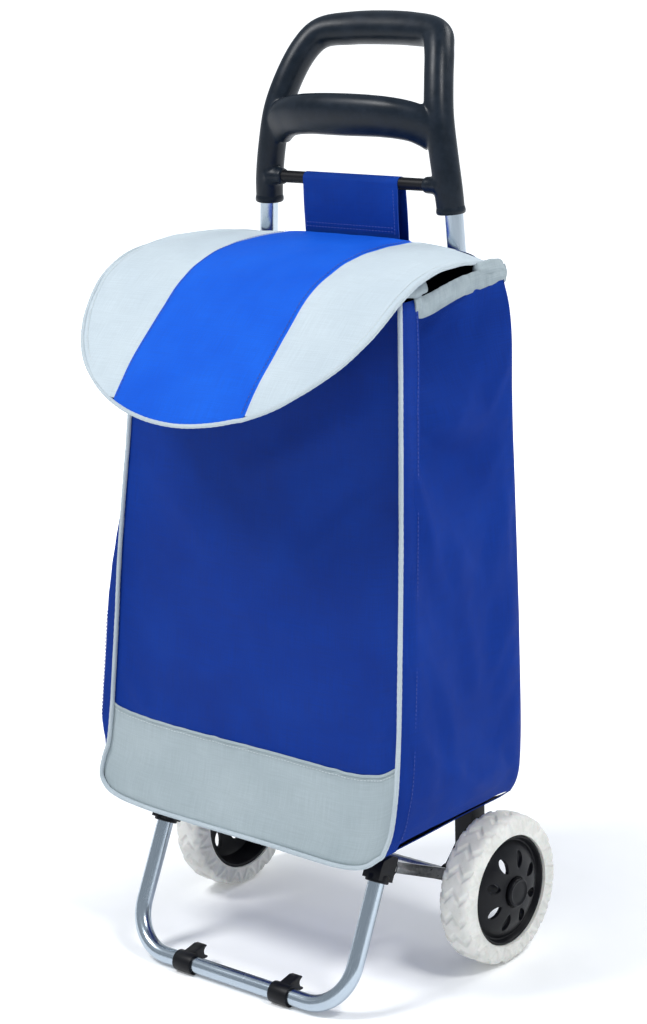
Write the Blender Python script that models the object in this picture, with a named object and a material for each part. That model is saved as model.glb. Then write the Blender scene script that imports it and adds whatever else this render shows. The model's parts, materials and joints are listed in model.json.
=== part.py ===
"""Folding shopping trolley: a two-wheeled tube frame with a fold-away front stand and a fabric bag.

Metres, +Z up.  +X is the trolley's left-to-right width, -Y is its front and the origin lies on the
floor under the middle of its overall box.  "left" is -X and "right" is +X.
"""
import math

import bmesh
import bpy
from mathutils import Matrix, Vector

# ---------------------------------------------------------------- driving dimensions
GAP = 0.0003                 # between pieces that touch

WHEEL_RADIUS = 0.080
WHEEL_OUTER_X = 0.2048       # outer face of the tyre
TYRE_WIDTH = 0.0368
RIM_RADIUS = 0.0582          # where the tyre sits on the hub
AXLE_Y = 0.060
AXLE_Z = WHEEL_RADIUS
AXLE_RADIUS = 0.0050
AXLE_END_X = 0.2105

TUBE_RADIUS = 0.0095         # main tubes
TUBE_WALL = 0.0012
TUBE_X = 0.1275
TUBE_TOP_X = 0.1220
TUBE_BEND_Z = 0.715          # above here the tubes draw in towards the handle
TUBE_BOTTOM_Z = 0.103
TUBE_TOP_Z = 0.800
TUBE_BOTTOM_Y = 0.0915
TUBE_LEAN = 0.0361           # rise in y for each metre up
SCREW_Z = 0.785              # screws through the handle's sockets

SLEEVE_HALF = 0.0112         # rear bracket: half the square sleeve around the main tube
SLEEVE_TOP_Z = 0.175
SLEEVE_BOTTOM_Z = 0.088
LUG_OUTER_X = 0.1315
LUG_RADIUS = 0.0095

BAR_X = (0.1325, 0.1355)     # flat side bars, inner and outer faces
BAR_HALF_HEIGHT = 0.0058
BAR_EYE_RADIUS = 0.0098
PIVOT_Y = -0.0630            # rivets that the stand swings on
PIVOT_Z = 0.1365
RIVET_RADIUS = 0.0030

STAND_X = 0.1473             # stand legs
STAND_RADIUS = 0.00875
STAND_WALL = 0.0012
STAND_BEND = 0.049
FOOT_Y = -0.1490
FOOT_Z = 0.0105
LEG_LEAN = math.radians(27.4)   # of the stand's legs, from upright
LEG_LENGTH = 0.1500             # from the foot bar's middle to the leg's top
STAND_FOLD = math.radians(92.4)
CLIP_X = 0.0670
CLIP_WIDTH = 0.024
CLIP_RADIUS = 0.0112
BRACKET_HALF_WIDTH = 0.0108
JAW_WIDTH = 0.013
WEB_OUTER_X = 0.1490         # outer face of a front bracket's thin rear web

BAG_BOTTOM_Z = 0.166
BAG_TOP_Z = 0.715
BAG_SEAM_Z = 0.259           # where the pale lower front panel ends
BAG_FRONT_BOTTOM_Y = -0.1110
BAG_FRONT_TOP_Y = -0.0372
BAG_FRONT_HALF_WIDTH = (0.1970, 0.1765)   # at the bottom and at the top
BAG_BACK_HALF_WIDTH = (0.2000, 0.1960)
BAG_SIDE_BACK_Y = (0.0920, 0.1030)        # rear edges of the side panels
BAG_BACK_Y = (0.0795, 0.0985)             # rear face of the back panel
PANEL = 0.0024               # thickness of the padded fabric panels
BOARD = 0.0030               # stiff board in the bottom
COLLAR_HEIGHT = 0.016
PIPING = 0.0018              # radius of the front piping

RAIL_Y = 0.1095              # crossbar that the bag hangs on
RAIL_Z = 0.8007
RAIL_RADIUS = 0.0064
STRAP_HALF_WIDTH = 0.0630
STRAP_THICKNESS = 0.0022
STRAP_END_Z = 0.690

LID_HINGE_Y = 0.0960
LID_HINGE_Z = 0.7450
LID_THICKNESS = 0.0026
LID_HALF_WIDTH = 0.1950
# Side profile of the flap's top face, from its hinge to its front edge.
LID_PROFILE = ((0.0960, 0.7470), (0.0600, 0.7487), (0.0250, 0.7475), (-0.0110, 0.7430), (-0.0420, 0.7340),
               (-0.0680, 0.7215), (-0.0920, 0.7025), (-0.1200, 0.6770), (-0.1480, 0.6510), (-0.1690, 0.6270),
               (-0.1850, 0.6078))
LID_ROUND_START = 0.45       # share of the flap's length where its round front begins

# Handle centreline on the right, from the socket's mouth to the middle of the top grip.
HANDLE_PATH = ((0.1218, 0.1140, 0.7735), (0.1195, 0.1138, 0.8000), (0.1140, 0.1155, 0.8350),
               (0.1072, 0.1200, 0.8700), (0.0990, 0.1325, 0.9030), (0.0890, 0.1480, 0.9300),
               (0.0750, 0.1615, 0.9450), (0.0400, 0.1675, 0.9490), (0.0000, 0.1685, 0.9500))
HANDLE_HALF = ((0.0143, 0.0143), (0.0143, 0.0143), (0.0144, 0.0145), (0.0146, 0.0150), (0.0144, 0.0150),
               (0.0148, 0.0152), (0.0160, 0.0158), (0.0171, 0.0161), (0.0174, 0.0162))
LOWER_BAR_PATH = ((0.1090, 0.1165, 0.8500), (0.0900, 0.1115, 0.8620), (0.0600, 0.1035, 0.8700),
                  (0.0000, 0.0985, 0.8715))
LOWER_BAR_HALF = ((0.0190, 0.0120), (0.0180, 0.0130), (0.0188, 0.0138), (0.0200, 0.0145))

ROUND = 16                   # sides of tubes and rods
WHEEL_ROUND = 40             # sides of wheels
SIDES = (("left", -1), ("right", 1))


# ---------------------------------------------------------------- scene and materials
def clear_scene():
    for old in list(bpy.data.objects):
        bpy.data.objects.remove(old, do_unlink=True)


def material(name, colour, roughness, metallic=0.0):
    found = bpy.data.materials.get(name)
    if found:
        return found
    made = bpy.data.materials.new(name)
    made.use_nodes = True
    shader = made.node_tree.nodes["Principled BSDF"]
    shader.inputs["Base Color"].default_value = (*colour, 1.0)
    shader.inputs["Roughness"].default_value = roughness
    shader.inputs["Metallic"].default_value = metallic
    return made


def steel():
    return material("steel", (0.60, 0.61, 0.63), 0.28, 1.0)


def black_plastic():
    return material("black_plastic", (0.012, 0.013, 0.017), 0.38)


def tyre_foam():
    return material("tyre_foam", (0.78, 0.76, 0.70), 0.75)


def blue_fabric():
    return material("blue_fabric", (0.012, 0.055, 0.42), 0.70)


def pale_fabric():
    return material("pale_fabric", (0.58, 0.64, 0.68), 0.75)


def board():
    return material("board", (0.05, 0.05, 0.06), 0.60)


# ---------------------------------------------------------------- building blocks
def pivot(name, y, z):
    """An empty on a joint's axis, which runs along X."""
    empty = bpy.data.objects.new(name, None)
    empty.location = (0.0, y, z)
    bpy.context.scene.collection.objects.link(empty)
    return empty


def add_object(name, bm, mat, parent=None, smooth_angle=40.0):
    """Turn a bmesh drawn in world coordinates into an object, under its joint's empty if it has one."""
    bmesh.ops.remove_doubles(bm, verts=bm.verts, dist=1e-6)
    bmesh.ops.recalc_face_normals(bm, faces=bm.faces)
    if parent:
        bmesh.ops.translate(bm, verts=bm.verts, vec=-parent.location)
    mesh = bpy.data.meshes.new(name)
    bm.to_mesh(mesh)
    bm.free()
    mesh.materials.append(mat)
    mesh.shade_smooth()
    mesh.set_sharp_from_angle(angle=math.radians(smooth_angle))
    made = bpy.data.objects.new(name, mesh)
    made.parent = parent
    bpy.context.scene.collection.objects.link(made)
    return made


def cut(target, cutter):
    """Take a hidden cutter out of a piece."""
    cutter.hide_render = True
    cutter.display_type = "WIRE"
    modifier = target.modifiers.new("cut_" + cutter.name, "BOOLEAN")
    modifier.operation = "DIFFERENCE"
    modifier.solver = "EXACT"
    modifier.object = cutter


def join_with(target, other):
    """Unite a hidden helper shape with a piece."""
    other.hide_render = True
    other.display_type = "WIRE"
    modifier = target.modifiers.new("join_" + other.name, "BOOLEAN")
    modifier.operation = "UNION"
    modifier.solver = "EXACT"
    modifier.object = other


def ring_points(centre, across, upward, half_a, half_b, sides):
    step = math.tau / sides
    return [centre + across * (half_a * math.cos(step * i)) + upward * (half_b * math.sin(step * i))
            for i in range(sides)]


def path_frames(path, up):
    """Across and upward directions at each point of a path."""
    frames = []
    for i, point in enumerate(path):
        before = path[max(i - 1, 0)]
        after = path[min(i + 1, len(path) - 1)]
        along = (after - before).normalized()
        across = along.cross(up).normalized()
        frames.append((point, across, across.cross(along).normalized()))
    return frames


def bridge(bm, first, second):
    count = len(first)
    for i in range(count):
        j = (i + 1) % count
        bm.faces.new((first[i], first[j], second[j], second[i]))


def sweep(path, halves, up, wall=0.0, sides=ROUND):
    """A round or oval bar along a path, hollow from end to end where a wall is given."""
    bm = bmesh.new()
    outer, inner = [], []
    for (centre, across, upward), (half_a, half_b) in zip(path_frames(path, up), halves):
        outer.append([bm.verts.new(p) for p in ring_points(centre, across, upward, half_a, half_b, sides)])
        if wall:
            inside = ring_points(centre, across, upward, half_a - wall, half_b - wall, sides)
            inner.append([bm.verts.new(p) for p in inside])
    for first, second in zip(outer, outer[1:]):
        bridge(bm, first, second)
    if wall:
        for first, second in zip(inner, inner[1:]):
            bridge(bm, first, second)
        bridge(bm, outer[0], inner[0])
        bridge(bm, outer[-1], inner[-1])
    else:
        bm.faces.new(outer[0])
        bm.faces.new(outer[-1])
    return bm


def turned(profile, y, z, sides, closed=True):
    """Turn (x, radius) points about the line through y and z that runs along X."""
    bm = bmesh.new()
    rings = []
    for x, radius in profile:
        if radius < 1e-9:
            rings.append([bm.verts.new((x, y, z))])
            continue
        angles = [math.tau * i / sides - math.pi / 2 for i in range(sides)]
        rings.append([bm.verts.new((x, y + radius * math.cos(a), z + radius * math.sin(a))) for a in angles])
    pairs = list(zip(rings, rings[1:]))
    if closed:
        pairs.append((rings[-1], rings[0]))
    for first, second in pairs:
        if len(first) == 1 and len(second) == 1:
            continue
        if len(first) == 1:
            for i in range(sides):
                bm.faces.new((first[0], second[i], second[(i + 1) % sides]))
        elif len(second) == 1:
            for i in range(sides):
                bm.faces.new((second[0], first[i], first[(i + 1) % sides]))
        else:
            bridge(bm, first, second)
    return bm


def plate(outline, x_low, x_high):
    """Extrude a (y, z) outline along X."""
    bm = bmesh.new()
    face = bm.faces.new([bm.verts.new((x_low, y, z)) for y, z in outline])
    grown = bmesh.ops.extrude_face_region(bm, geom=[face])
    moved = [item for item in grown["geom"] if isinstance(item, bmesh.types.BMVert)]
    bmesh.ops.translate(bm, verts=moved, vec=(x_high - x_low, 0.0, 0.0))
    return bm


def slab(corners, inward):
    """A flat panel with four outer corners, given its thickness by the inward vector."""
    bm = bmesh.new()
    outer = [bm.verts.new(c) for c in corners]
    inner = [bm.verts.new(Vector(c) + Vector(inward)) for c in corners]
    bm.faces.new(outer)
    bm.faces.new(inner)
    bridge(bm, outer, inner)
    return bm


def cylinder(name, centre, direction, radius, length, sides=ROUND):
    """A plain rod centred on a point, used to cut bores and as pins."""
    bm = bmesh.new()
    turn = Vector(direction).to_track_quat("Z", "Y").to_matrix().to_4x4()
    bmesh.ops.create_cone(bm, cap_ends=True, segments=sides, radius1=radius, radius2=radius, depth=length,
                          matrix=Matrix.Translation(centre) @ turn)
    return add_object(name, bm, steel())


def arc(centre_y, centre_z, radius, start, end, count):
    """Points of an arc in the (y, z) plane, from start to end in degrees."""
    angles = [math.radians(start + (end - start) * i / (count - 1)) for i in range(count)]
    return [(centre_y + radius * math.cos(a), centre_z + radius * math.sin(a)) for a in angles]


def smooth_path(points, values, steps):
    """Catmull-Rom curve through points, with each point's value carried along."""
    path, carried = [], []
    last = len(points) - 1
    for i in range(last):
        p = [Vector(points[min(max(i + k, 0), last)]) for k in (-1, 0, 1, 2)]
        for n in range(steps):
            t = n / steps
            path.append(0.5 * (2 * p[1] + (p[2] - p[0]) * t + (2 * p[0] - 5 * p[1] + 4 * p[2] - p[3]) * t ** 2
                               + (3 * p[1] - p[0] - 3 * p[2] + p[3]) * t ** 3))
            carried.append(tuple(a + (b - a) * t for a, b in zip(values[i], values[i + 1])))
    path.append(Vector(points[last]))
    carried.append(values[last])
    return path, carried


def between(pair, z):
    """Read a bag dimension, given at the bag's bottom and top, at a height."""
    share = (z - BAG_BOTTOM_Z) / (BAG_TOP_Z - BAG_BOTTOM_Z)
    return pair[0] + (pair[1] - pair[0]) * share


def tube_y(z):
    return TUBE_BOTTOM_Y + TUBE_LEAN * (z - TUBE_BOTTOM_Z)


def upper_tube_x(z):
    """Half the spacing of the main tubes above their bend."""
    low = TUBE_BEND_Z + 0.015
    return TUBE_X - 0.0015 + (TUBE_TOP_X - TUBE_X + 0.0015) * (z - low) / (TUBE_TOP_Z - low)


# ---------------------------------------------------------------- frame
def build_main_tube(side_name, side):
    heights = (TUBE_BOTTOM_Z, TUBE_BEND_Z - 0.015, TUBE_BEND_Z, TUBE_BEND_Z + 0.015, TUBE_TOP_Z)
    spread = (TUBE_X, TUBE_X, TUBE_X - 0.0005, TUBE_X - 0.0015, TUBE_TOP_X)
    path = [Vector((side * x, tube_y(z), z)) for x, z in zip(spread, heights)]
    bm = sweep(path, [(TUBE_RADIUS, TUBE_RADIUS)] * len(path), Vector((0, -1, 0)), TUBE_WALL)
    return add_object("main_tube_" + side_name, bm, steel())


def build_handle():
    """Moulded loop with a lower front bar and a socket over each main tube."""
    up = Vector((0, 1, 0))
    left = [(-x, y, z) for x, y, z in HANDLE_PATH]
    points = left + list(reversed(HANDLE_PATH[:-1]))
    halves = list(HANDLE_HALF) + list(reversed(HANDLE_HALF[:-1]))
    path, sizes = smooth_path(points, [(a, b) for a, b in halves], 3)
    handle = add_object("handle", sweep(path, sizes, up), black_plastic(), smooth_angle=60.0)
    bar_left = [(-x, y, z) for x, y, z in LOWER_BAR_PATH]
    bar_points = bar_left + list(reversed(LOWER_BAR_PATH[:-1]))
    bar_halves = list(LOWER_BAR_HALF) + list(reversed(LOWER_BAR_HALF[:-1]))
    bar_path, bar_sizes = smooth_path(bar_points, [(a, b) for a, b in bar_halves], 2)
    join_with(handle, add_object("handle_lower_bar_shape", sweep(bar_path, bar_sizes, up), black_plastic()))
    for side_name, side in SIDES:
        foot = Vector((side * upper_tube_x(0.755), tube_y(0.755), 0.755))
        head = Vector((side * upper_tube_x(0.802), tube_y(0.802), 0.802))
        middle = (foot + head) / 2
        bore = cylinder("socket_bore_" + side_name, middle, head - foot, TUBE_RADIUS + 0.0005,
                        (head - foot).length)
        cut(handle, bore)
        cut(handle, cylinder("screw_bore_" + side_name, (side * upper_tube_x(SCREW_Z), 0.1300, SCREW_Z),
                             (0, 1, 0), 0.0022, 0.016, 12))
        rail_bore = cylinder("rail_bore_" + side_name, (side * 0.1050, RAIL_Y, RAIL_Z), (1, 0, 0),
                             RAIL_RADIUS + GAP, 0.0100)
        cut(handle, rail_bore)
    return handle


def build_handle_screw(side_name, side):
    """Self-tapping screw from behind, through the socket's wall."""
    profile = ((0.0, 0.0), (0.0, 0.0018), (0.0028, 0.0018), (0.0030, 0.0036), (0.0044, 0.0028), (0.0044, 0.0))
    bm = turned(profile, 0.0, 0.0, 12, closed=False)
    bmesh.ops.rotate(bm, verts=bm.verts, cent=(0, 0, 0), matrix=Matrix.Rotation(math.radians(90), 3, "Z"))
    bmesh.ops.translate(bm, verts=bm.verts, vec=(side * upper_tube_x(SCREW_Z), 0.1264, SCREW_Z))
    return add_object("handle_screw_" + side_name, bm, steel())


def build_strap_rail():
    """Crossbar between the handle's legs that the bag hangs from."""
    end = 0.1095
    path = [Vector((x, RAIL_Y, RAIL_Z)) for x in (-end, 0.0, end)]
    bm = sweep(path, [(RAIL_RADIUS, RAIL_RADIUS)] * 3, Vector((0, 0, 1)))
    return add_object("strap_rail", bm, black_plastic())


def build_rear_bracket(side_name, side):
    """Moulded sleeve on the foot of a main tube, with a forward lug that holds the axle."""
    back = TUBE_BOTTOM_Y + SLEEVE_HALF
    front = TUBE_BOTTOM_Y - SLEEVE_HALF
    top_shift = TUBE_LEAN * (SLEEVE_TOP_Z - SLEEVE_BOTTOM_Z)
    outline = [(front + top_shift, SLEEVE_TOP_Z), (front, SLEEVE_BOTTOM_Z + 0.018)]
    outline += arc(AXLE_Y, AXLE_Z, LUG_RADIUS, 75, 285, 15)
    outline += [(back - 0.004, SLEEVE_BOTTOM_Z - 0.002), (back, SLEEVE_BOTTOM_Z + 0.004),
                (back + top_shift, SLEEVE_TOP_Z)]
    inner, outer = sorted((side * (TUBE_X - SLEEVE_HALF), side * (TUBE_X + SLEEVE_HALF)))
    bracket = add_object("rear_bracket_" + side_name, plate(outline, inner, outer), black_plastic())
    spare_low, spare_high = sorted((side * LUG_OUTER_X, side * (TUBE_X + SLEEVE_HALF + 0.002)))
    spare = plate([(0.040, 0.060), (front - 0.0002, 0.060), (front - 0.0002, 0.120), (0.040, 0.120)],
                  spare_low, spare_high)
    cut(bracket, add_object("lug_relief_" + side_name, spare, black_plastic()))
    low = Vector((side * TUBE_X, tube_y(0.100), 0.100))
    high = Vector((side * TUBE_X, tube_y(0.190), 0.190))
    cut(bracket, cylinder("sleeve_bore_" + side_name, (low + high) / 2, high - low, TUBE_RADIUS + 0.0005,
                          (high - low).length))
    cut(bracket, cylinder("lug_bore_" + side_name, (side * 0.124, AXLE_Y, AXLE_Z), (1, 0, 0),
                          AXLE_RADIUS + GAP, 0.030))
    cut(bracket, cylinder("rivet_bore_" + side_name, (side * TUBE_X, 0.104, 0.150), (0, 1, 0), 0.0024, 0.010, 12))
    return bracket


def build_bracket_rivet(side_name, side):
    """Rivet that fixes a rear bracket to its tube, from behind."""
    profile = ((0.0, 0.0), (0.0, 0.0019), (0.0023, 0.0019), (0.0026, 0.0044), (0.0034, 0.0036), (0.0038, 0.0))
    bm = turned(profile, 0.0, 0.0, 12, closed=False)
    bmesh.ops.rotate(bm, verts=bm.verts, cent=(0, 0, 0), matrix=Matrix.Rotation(math.radians(90), 3, "Z"))
    bmesh.ops.translate(bm, verts=bm.verts, vec=(side * TUBE_X, 0.1031, 0.150))
    return add_object("bracket_rivet_" + side_name, bm, steel())


def build_axle():
    profile = ((-AXLE_END_X, 0.0), (-AXLE_END_X, AXLE_RADIUS), (AXLE_END_X, AXLE_RADIUS), (AXLE_END_X, 0.0))
    return add_object("axle", turned(profile, AXLE_Y, AXLE_Z, ROUND, closed=False), steel())


def build_axle_washer(side_name, side):
    """Steel washer between the stand's path and the wheel."""
    profile = [(side * x, r) for x, r in ((0.1572, 0.0053), (0.1584, 0.0053), (0.1584, 0.0095), (0.1572, 0.0095))]
    return add_object("axle_washer_" + side_name, turned(profile, AXLE_Y, AXLE_Z, ROUND), steel())


def build_axle_cap(side_name, side):
    """Push-on cap that keeps the wheel on the axle; it is bored to fit over the axle's end."""
    bore = AXLE_RADIUS + 0.0002
    profile = [(side * x, r) for x, r in ((0.2088, bore), (0.2088, 0.0150), (0.2130, 0.0148), (0.2146, 0.0134),
                                          (0.2150, 0.0), (0.2109, 0.0), (0.2109, bore))]
    bm = turned(profile, AXLE_Y, AXLE_Z, ROUND)
    return add_object("axle_cap_" + side_name, bm, black_plastic())


# ---------------------------------------------------------------- wheels
def build_tyre(side_name, side, parent):
    """Foam tyre with a rounded tread, pressed on the rim."""
    middle = WHEEL_OUTER_X - TYRE_WIDTH / 2
    half = TYRE_WIDTH / 2
    seat = RIM_RADIUS + GAP
    shape = ((-half + 0.003, seat), (half - 0.003, seat), (half, seat + 0.004), (half, 0.0740), (half - 0.0025, 0.0778),
             (half - 0.0065, 0.0795), (0.0, WHEEL_RADIUS), (-half + 0.0065, 0.0795), (-half + 0.0025, 0.0778),
             (-half, 0.0740), (-half, seat + 0.004))
    profile = [(side * (middle + x), r) for x, r in shape]
    return add_object("tyre_" + side_name, turned(profile, AXLE_Y, AXLE_Z, WHEEL_ROUND), tyre_foam(), parent)


def build_hub(side_name, side, parent):
    """Moulded hub: rim, web domed outwards with eight leaf-shaped holes, and a long boss on the axle."""
    shape = ((0.1590, 0.0054), (0.1590, 0.0120), (0.2000, 0.0125), (0.2045, 0.0180), (0.2035, 0.0270),
             (0.2005, 0.0380), (0.1965, 0.0460), (0.1935, 0.0500), (0.1720, 0.0545), (0.1720, RIM_RADIUS),
             (0.2010, RIM_RADIUS), (0.2026, 0.0560), (0.1975, 0.0525), (0.2010, 0.0470), (0.2050, 0.0380),
             (0.2073, 0.0270), (0.2085, 0.0170), (0.2085, 0.0054))
    profile = [(side * x, r) for x, r in shape]
    hub = add_object("hub_" + side_name, turned(profile, AXLE_Y, AXLE_Z, WHEEL_ROUND), black_plastic(), parent)
    leaves = bmesh.new()
    for i in range(8):
        turn = math.tau * (i + 0.5) / 8
        outline = []
        for n in range(12):
            a = math.tau * n / 12
            along = 0.0335 + 0.0095 * math.cos(a)
            across = (0.0056 + 0.0010 * math.cos(a)) * math.sin(a)
            outline.append((AXLE_Y + along * math.cos(turn) - across * math.sin(turn),
                            AXLE_Z + along * math.sin(turn) + across * math.cos(turn)))
        leaf = leaves.faces.new([leaves.verts.new((side * 0.190, y, z)) for y, z in outline])
        grown = bmesh.ops.extrude_face_region(leaves, geom=[leaf])
        moved = [item for item in grown["geom"] if isinstance(item, bmesh.types.BMVert)]
        bmesh.ops.translate(leaves, verts=moved, vec=(side * 0.020, 0.0, 0.0))
    cutter = add_object("hub_leaves_" + side_name, leaves, black_plastic())
    cut(hub, cutter)
    return hub


# ---------------------------------------------------------------- folding base and stand
def build_side_bar(side_name, side, parent):
    """Flat steel bar from the axle to the stand's rivet, with a wider eye at the axle."""
    slope = math.degrees(math.atan2(PIVOT_Z - AXLE_Z, PIVOT_Y - AXLE_Y))
    outline = arc(PIVOT_Y, PIVOT_Z, BAR_HALF_HEIGHT, slope - 90, slope + 90, 11)
    outline += arc(AXLE_Y, AXLE_Z, BAR_EYE_RADIUS, slope + 40, slope + 320, 21)
    low, high = sorted((side * BAR_X[0], side * BAR_X[1]))
    bar = add_object("side_bar_" + side_name, plate(outline, low, high), steel(), parent)
    middle = side * (BAR_X[0] + BAR_X[1]) / 2
    cut(bar, cylinder("bar_axle_bore_" + side_name, (middle, AXLE_Y, AXLE_Z), (1, 0, 0), AXLE_RADIUS + 0.0002, 0.010))
    cut(bar, cylinder("bar_rivet_bore_" + side_name, (middle, PIVOT_Y, PIVOT_Z), (1, 0, 0),
                      RIVET_RADIUS + GAP, 0.010))
    return bar


def stand_leg_direction():
    """Unit vector up a leg from the foot bar, in the side view."""
    return Vector((0.0, math.sin(LEG_LEAN), math.cos(LEG_LEAN)))


def beside_leg(along, behind):
    """The (y, z) point at a distance along a leg from the foot bar and behind its centreline."""
    up_leg = stand_leg_direction()
    return FOOT_Y + along * up_leg.y + behind * up_leg.z, FOOT_Z + along * up_leg.z - behind * up_leg.y


def build_stand_tube(parent):
    """One bent tube: two straight legs, two round bends and the foot bar."""
    up_leg = stand_leg_direction()
    foot = Vector((0.0, FOOT_Y, FOOT_Z))
    path = []
    for side in (-1, 1):
        half = [Vector((side * STAND_X, 0, 0)) + foot + up_leg * LEG_LENGTH]
        half += [Vector((side * STAND_X, 0, 0)) + foot + up_leg * (LEG_LENGTH * 0.65)]
        corner = foot + Vector((side * (STAND_X - STAND_BEND), 0, 0)) + up_leg * STAND_BEND
        for i in range(8):
            a = math.radians(90 * i / 7)
            half.append(corner + Vector((side * STAND_BEND * math.cos(a), 0, 0)) - up_leg * (STAND_BEND * math.sin(a)))
        half.append(foot + Vector((side * 0.045, 0, 0)))
        path += half if side < 0 else list(reversed(half))
    normal = Vector((1, 0, 0)).cross(up_leg)
    bm = sweep(path, [(STAND_RADIUS, STAND_RADIUS)] * len(path), normal, STAND_WALL)
    return add_object("stand_tube", bm, steel(), parent)


def build_front_bracket(side_name, side, parent):
    """Moulded sleeve on the top of a stand leg, with a thin rear web that turns on the rivet."""
    outline = [beside_leg(0.1375, -0.0118), beside_leg(0.1375, 0.0118), beside_leg(0.1640, 0.0118),
               beside_leg(0.1640, 0.0020), beside_leg(0.1570, -0.0105), beside_leg(0.1500, -0.0118)]
    low, high = sorted((side * (STAND_X - BRACKET_HALF_WIDTH), side * (STAND_X + BRACKET_HALF_WIDTH)))
    bracket = add_object("front_bracket_" + side_name, plate(outline, low, high), black_plastic(), parent)
    lean = math.degrees(LEG_LEAN)
    web = [beside_leg(0.1400, 0.0080), beside_leg(0.1400, 0.0160)]
    web += arc(PIVOT_Y, PIVOT_Z, 0.0085, -lean - 60, -lean + 60, 9)
    web += [beside_leg(0.1620, 0.0110), beside_leg(0.1620, 0.0080)]
    low, high = sorted((side * (STAND_X - BRACKET_HALF_WIDTH), side * WEB_OUTER_X))
    join_with(bracket, add_object("bracket_web_" + side_name, plate(web, low, high), black_plastic()))
    up_leg = stand_leg_direction()
    foot = Vector((side * STAND_X, FOOT_Y, FOOT_Z))
    top = foot + up_leg * (LEG_LENGTH + GAP)
    bottom = top - up_leg * 0.060
    cut(bracket, cylinder("leg_bore_" + side_name, (top + bottom) / 2, up_leg, STAND_RADIUS + GAP, 0.060))
    cut(bracket, cylinder("knuckle_bore_" + side_name, (side * 0.1430, PIVOT_Y, PIVOT_Z), (1, 0, 0),
                          RIVET_RADIUS + GAP, 0.040))
    return bracket


def build_stand_rivet(side_name, side, parent):
    """Headed rivet through the front bracket and the side bar."""
    outer = WEB_OUTER_X + GAP
    inner = BAR_X[0] - GAP
    shape = ((inner - 0.0018, 0.0), (inner - 0.0014, 0.0042), (inner, 0.0050), (inner, RIVET_RADIUS),
             (outer, RIVET_RADIUS), (outer, 0.0055), (outer + 0.0016, 0.0044), (outer + 0.0022, 0.0))
    profile = [(side * x, r) for x, r in shape]
    bm = turned(profile, PIVOT_Y, PIVOT_Z, 16, closed=False)
    return add_object("stand_rivet_" + side_name, bm, steel(), parent)


def clip_jaw_centre():
    """Where the axle lies, seen from the stand, once the stand is folded back."""
    y = AXLE_Y - PIVOT_Y
    z = AXLE_Z - PIVOT_Z
    c, s = math.cos(-STAND_FOLD), math.sin(-STAND_FOLD)
    return PIVOT_Y + y * c - z * s, PIVOT_Z + y * s + z * c


def build_foot_clip(side_name, side, parent):
    """Clip around the foot bar, with a flat sole and a rear tab that cradles the axle when folded."""
    sole = 0.0040
    outline = [(FOOT_Y + sole, 0.0), (FOOT_Y - sole, 0.0)]
    outline += arc(FOOT_Y, FOOT_Z, CLIP_RADIUS, -118, -422, 23)
    outline = [(y, max(z, 0.0)) for y, z in outline]
    centre = side * CLIP_X
    clip = add_object("foot_clip_" + side_name,
                      plate(outline, centre - CLIP_WIDTH / 2, centre + CLIP_WIDTH / 2), black_plastic(), parent)
    jaw_y, jaw_z = clip_jaw_centre()
    tab = [(FOOT_Y + 0.0035, FOOT_Z - 0.0005), (FOOT_Y + 0.0120, jaw_z - 0.0070), (jaw_y - 0.0008, jaw_z - 0.0075),
           (jaw_y - 0.0008, jaw_z + 0.0068), (jaw_y - 0.0060, jaw_z + 0.0080), (FOOT_Y + 0.0035, FOOT_Z + 0.0105)]
    tab_piece = plate(tab, centre - JAW_WIDTH / 2, centre + JAW_WIDTH / 2)
    join_with(clip, add_object("clip_tab_" + side_name, tab_piece, black_plastic()))
    cut(clip, cylinder("clip_bore_" + side_name, (centre, FOOT_Y, FOOT_Z), (1, 0, 0), STAND_RADIUS + GAP, 0.030))
    cut(clip, cylinder("axle_cradle_" + side_name, (centre, jaw_y, jaw_z), (1, 0, 0), AXLE_RADIUS + 0.0005, 0.030))
    return clip


# ---------------------------------------------------------------- bag
def front_y(z):
    return between((BAG_FRONT_BOTTOM_Y, BAG_FRONT_TOP_Y), z)


def build_front_panel(name, low, high, mat):
    """Part of the bag's leaning front, between two heights."""
    corners = []
    for side, z in ((-1, low), (1, low), (1, high), (-1, high)):
        half = between(BAG_FRONT_HALF_WIDTH, z) - 2 * PIPING - GAP
        corners.append((side * half, front_y(z), z))
    return add_object(name, slab(corners, (0, PANEL, 0)), mat)


def build_bag_side(side_name, side):
    corners = []
    for z in (BAG_BOTTOM_Z, BAG_TOP_Z):
        corners.append((between(BAG_FRONT_HALF_WIDTH, z), front_y(z) + PANEL + 2 * GAP + 0.0016, z))
        corners.append((between(BAG_BACK_HALF_WIDTH, z), between(BAG_SIDE_BACK_Y, z), z))
    ordered = [corners[0], corners[1], corners[3], corners[2]]
    ordered = [(side * x, y, z) for x, y, z in ordered]
    return add_object("bag_side_" + side_name, slab(ordered, (-side * PANEL, 0, 0)), blue_fabric())


def build_bag_back():
    corners = []
    for side, z in ((-1, BAG_BOTTOM_Z), (1, BAG_BOTTOM_Z), (1, BAG_TOP_Z), (-1, BAG_TOP_Z)):
        half = between(BAG_BACK_HALF_WIDTH, z) - PANEL - 0.0012
        corners.append((side * half, between(BAG_BACK_Y, z), z))
    return add_object("bag_back_panel", slab(corners, (0, -PANEL, 0)), blue_fabric())


def bottom_slab(z, thickness, inset, mat, name):
    front = front_y(z) + PANEL + 0.0015 + inset
    back = BAG_BACK_Y[0] - PANEL - inset
    half_front = BAG_FRONT_HALF_WIDTH[0] - PANEL - 0.0012 - inset
    half_back = BAG_BACK_HALF_WIDTH[0] - PANEL - 0.0012 - inset
    corners = ((-half_front, front, z), (half_front, front, z), (half_back, back, z), (-half_back, back, z))
    return add_object(name, slab(corners, (0, 0, thickness)), mat)


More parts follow.
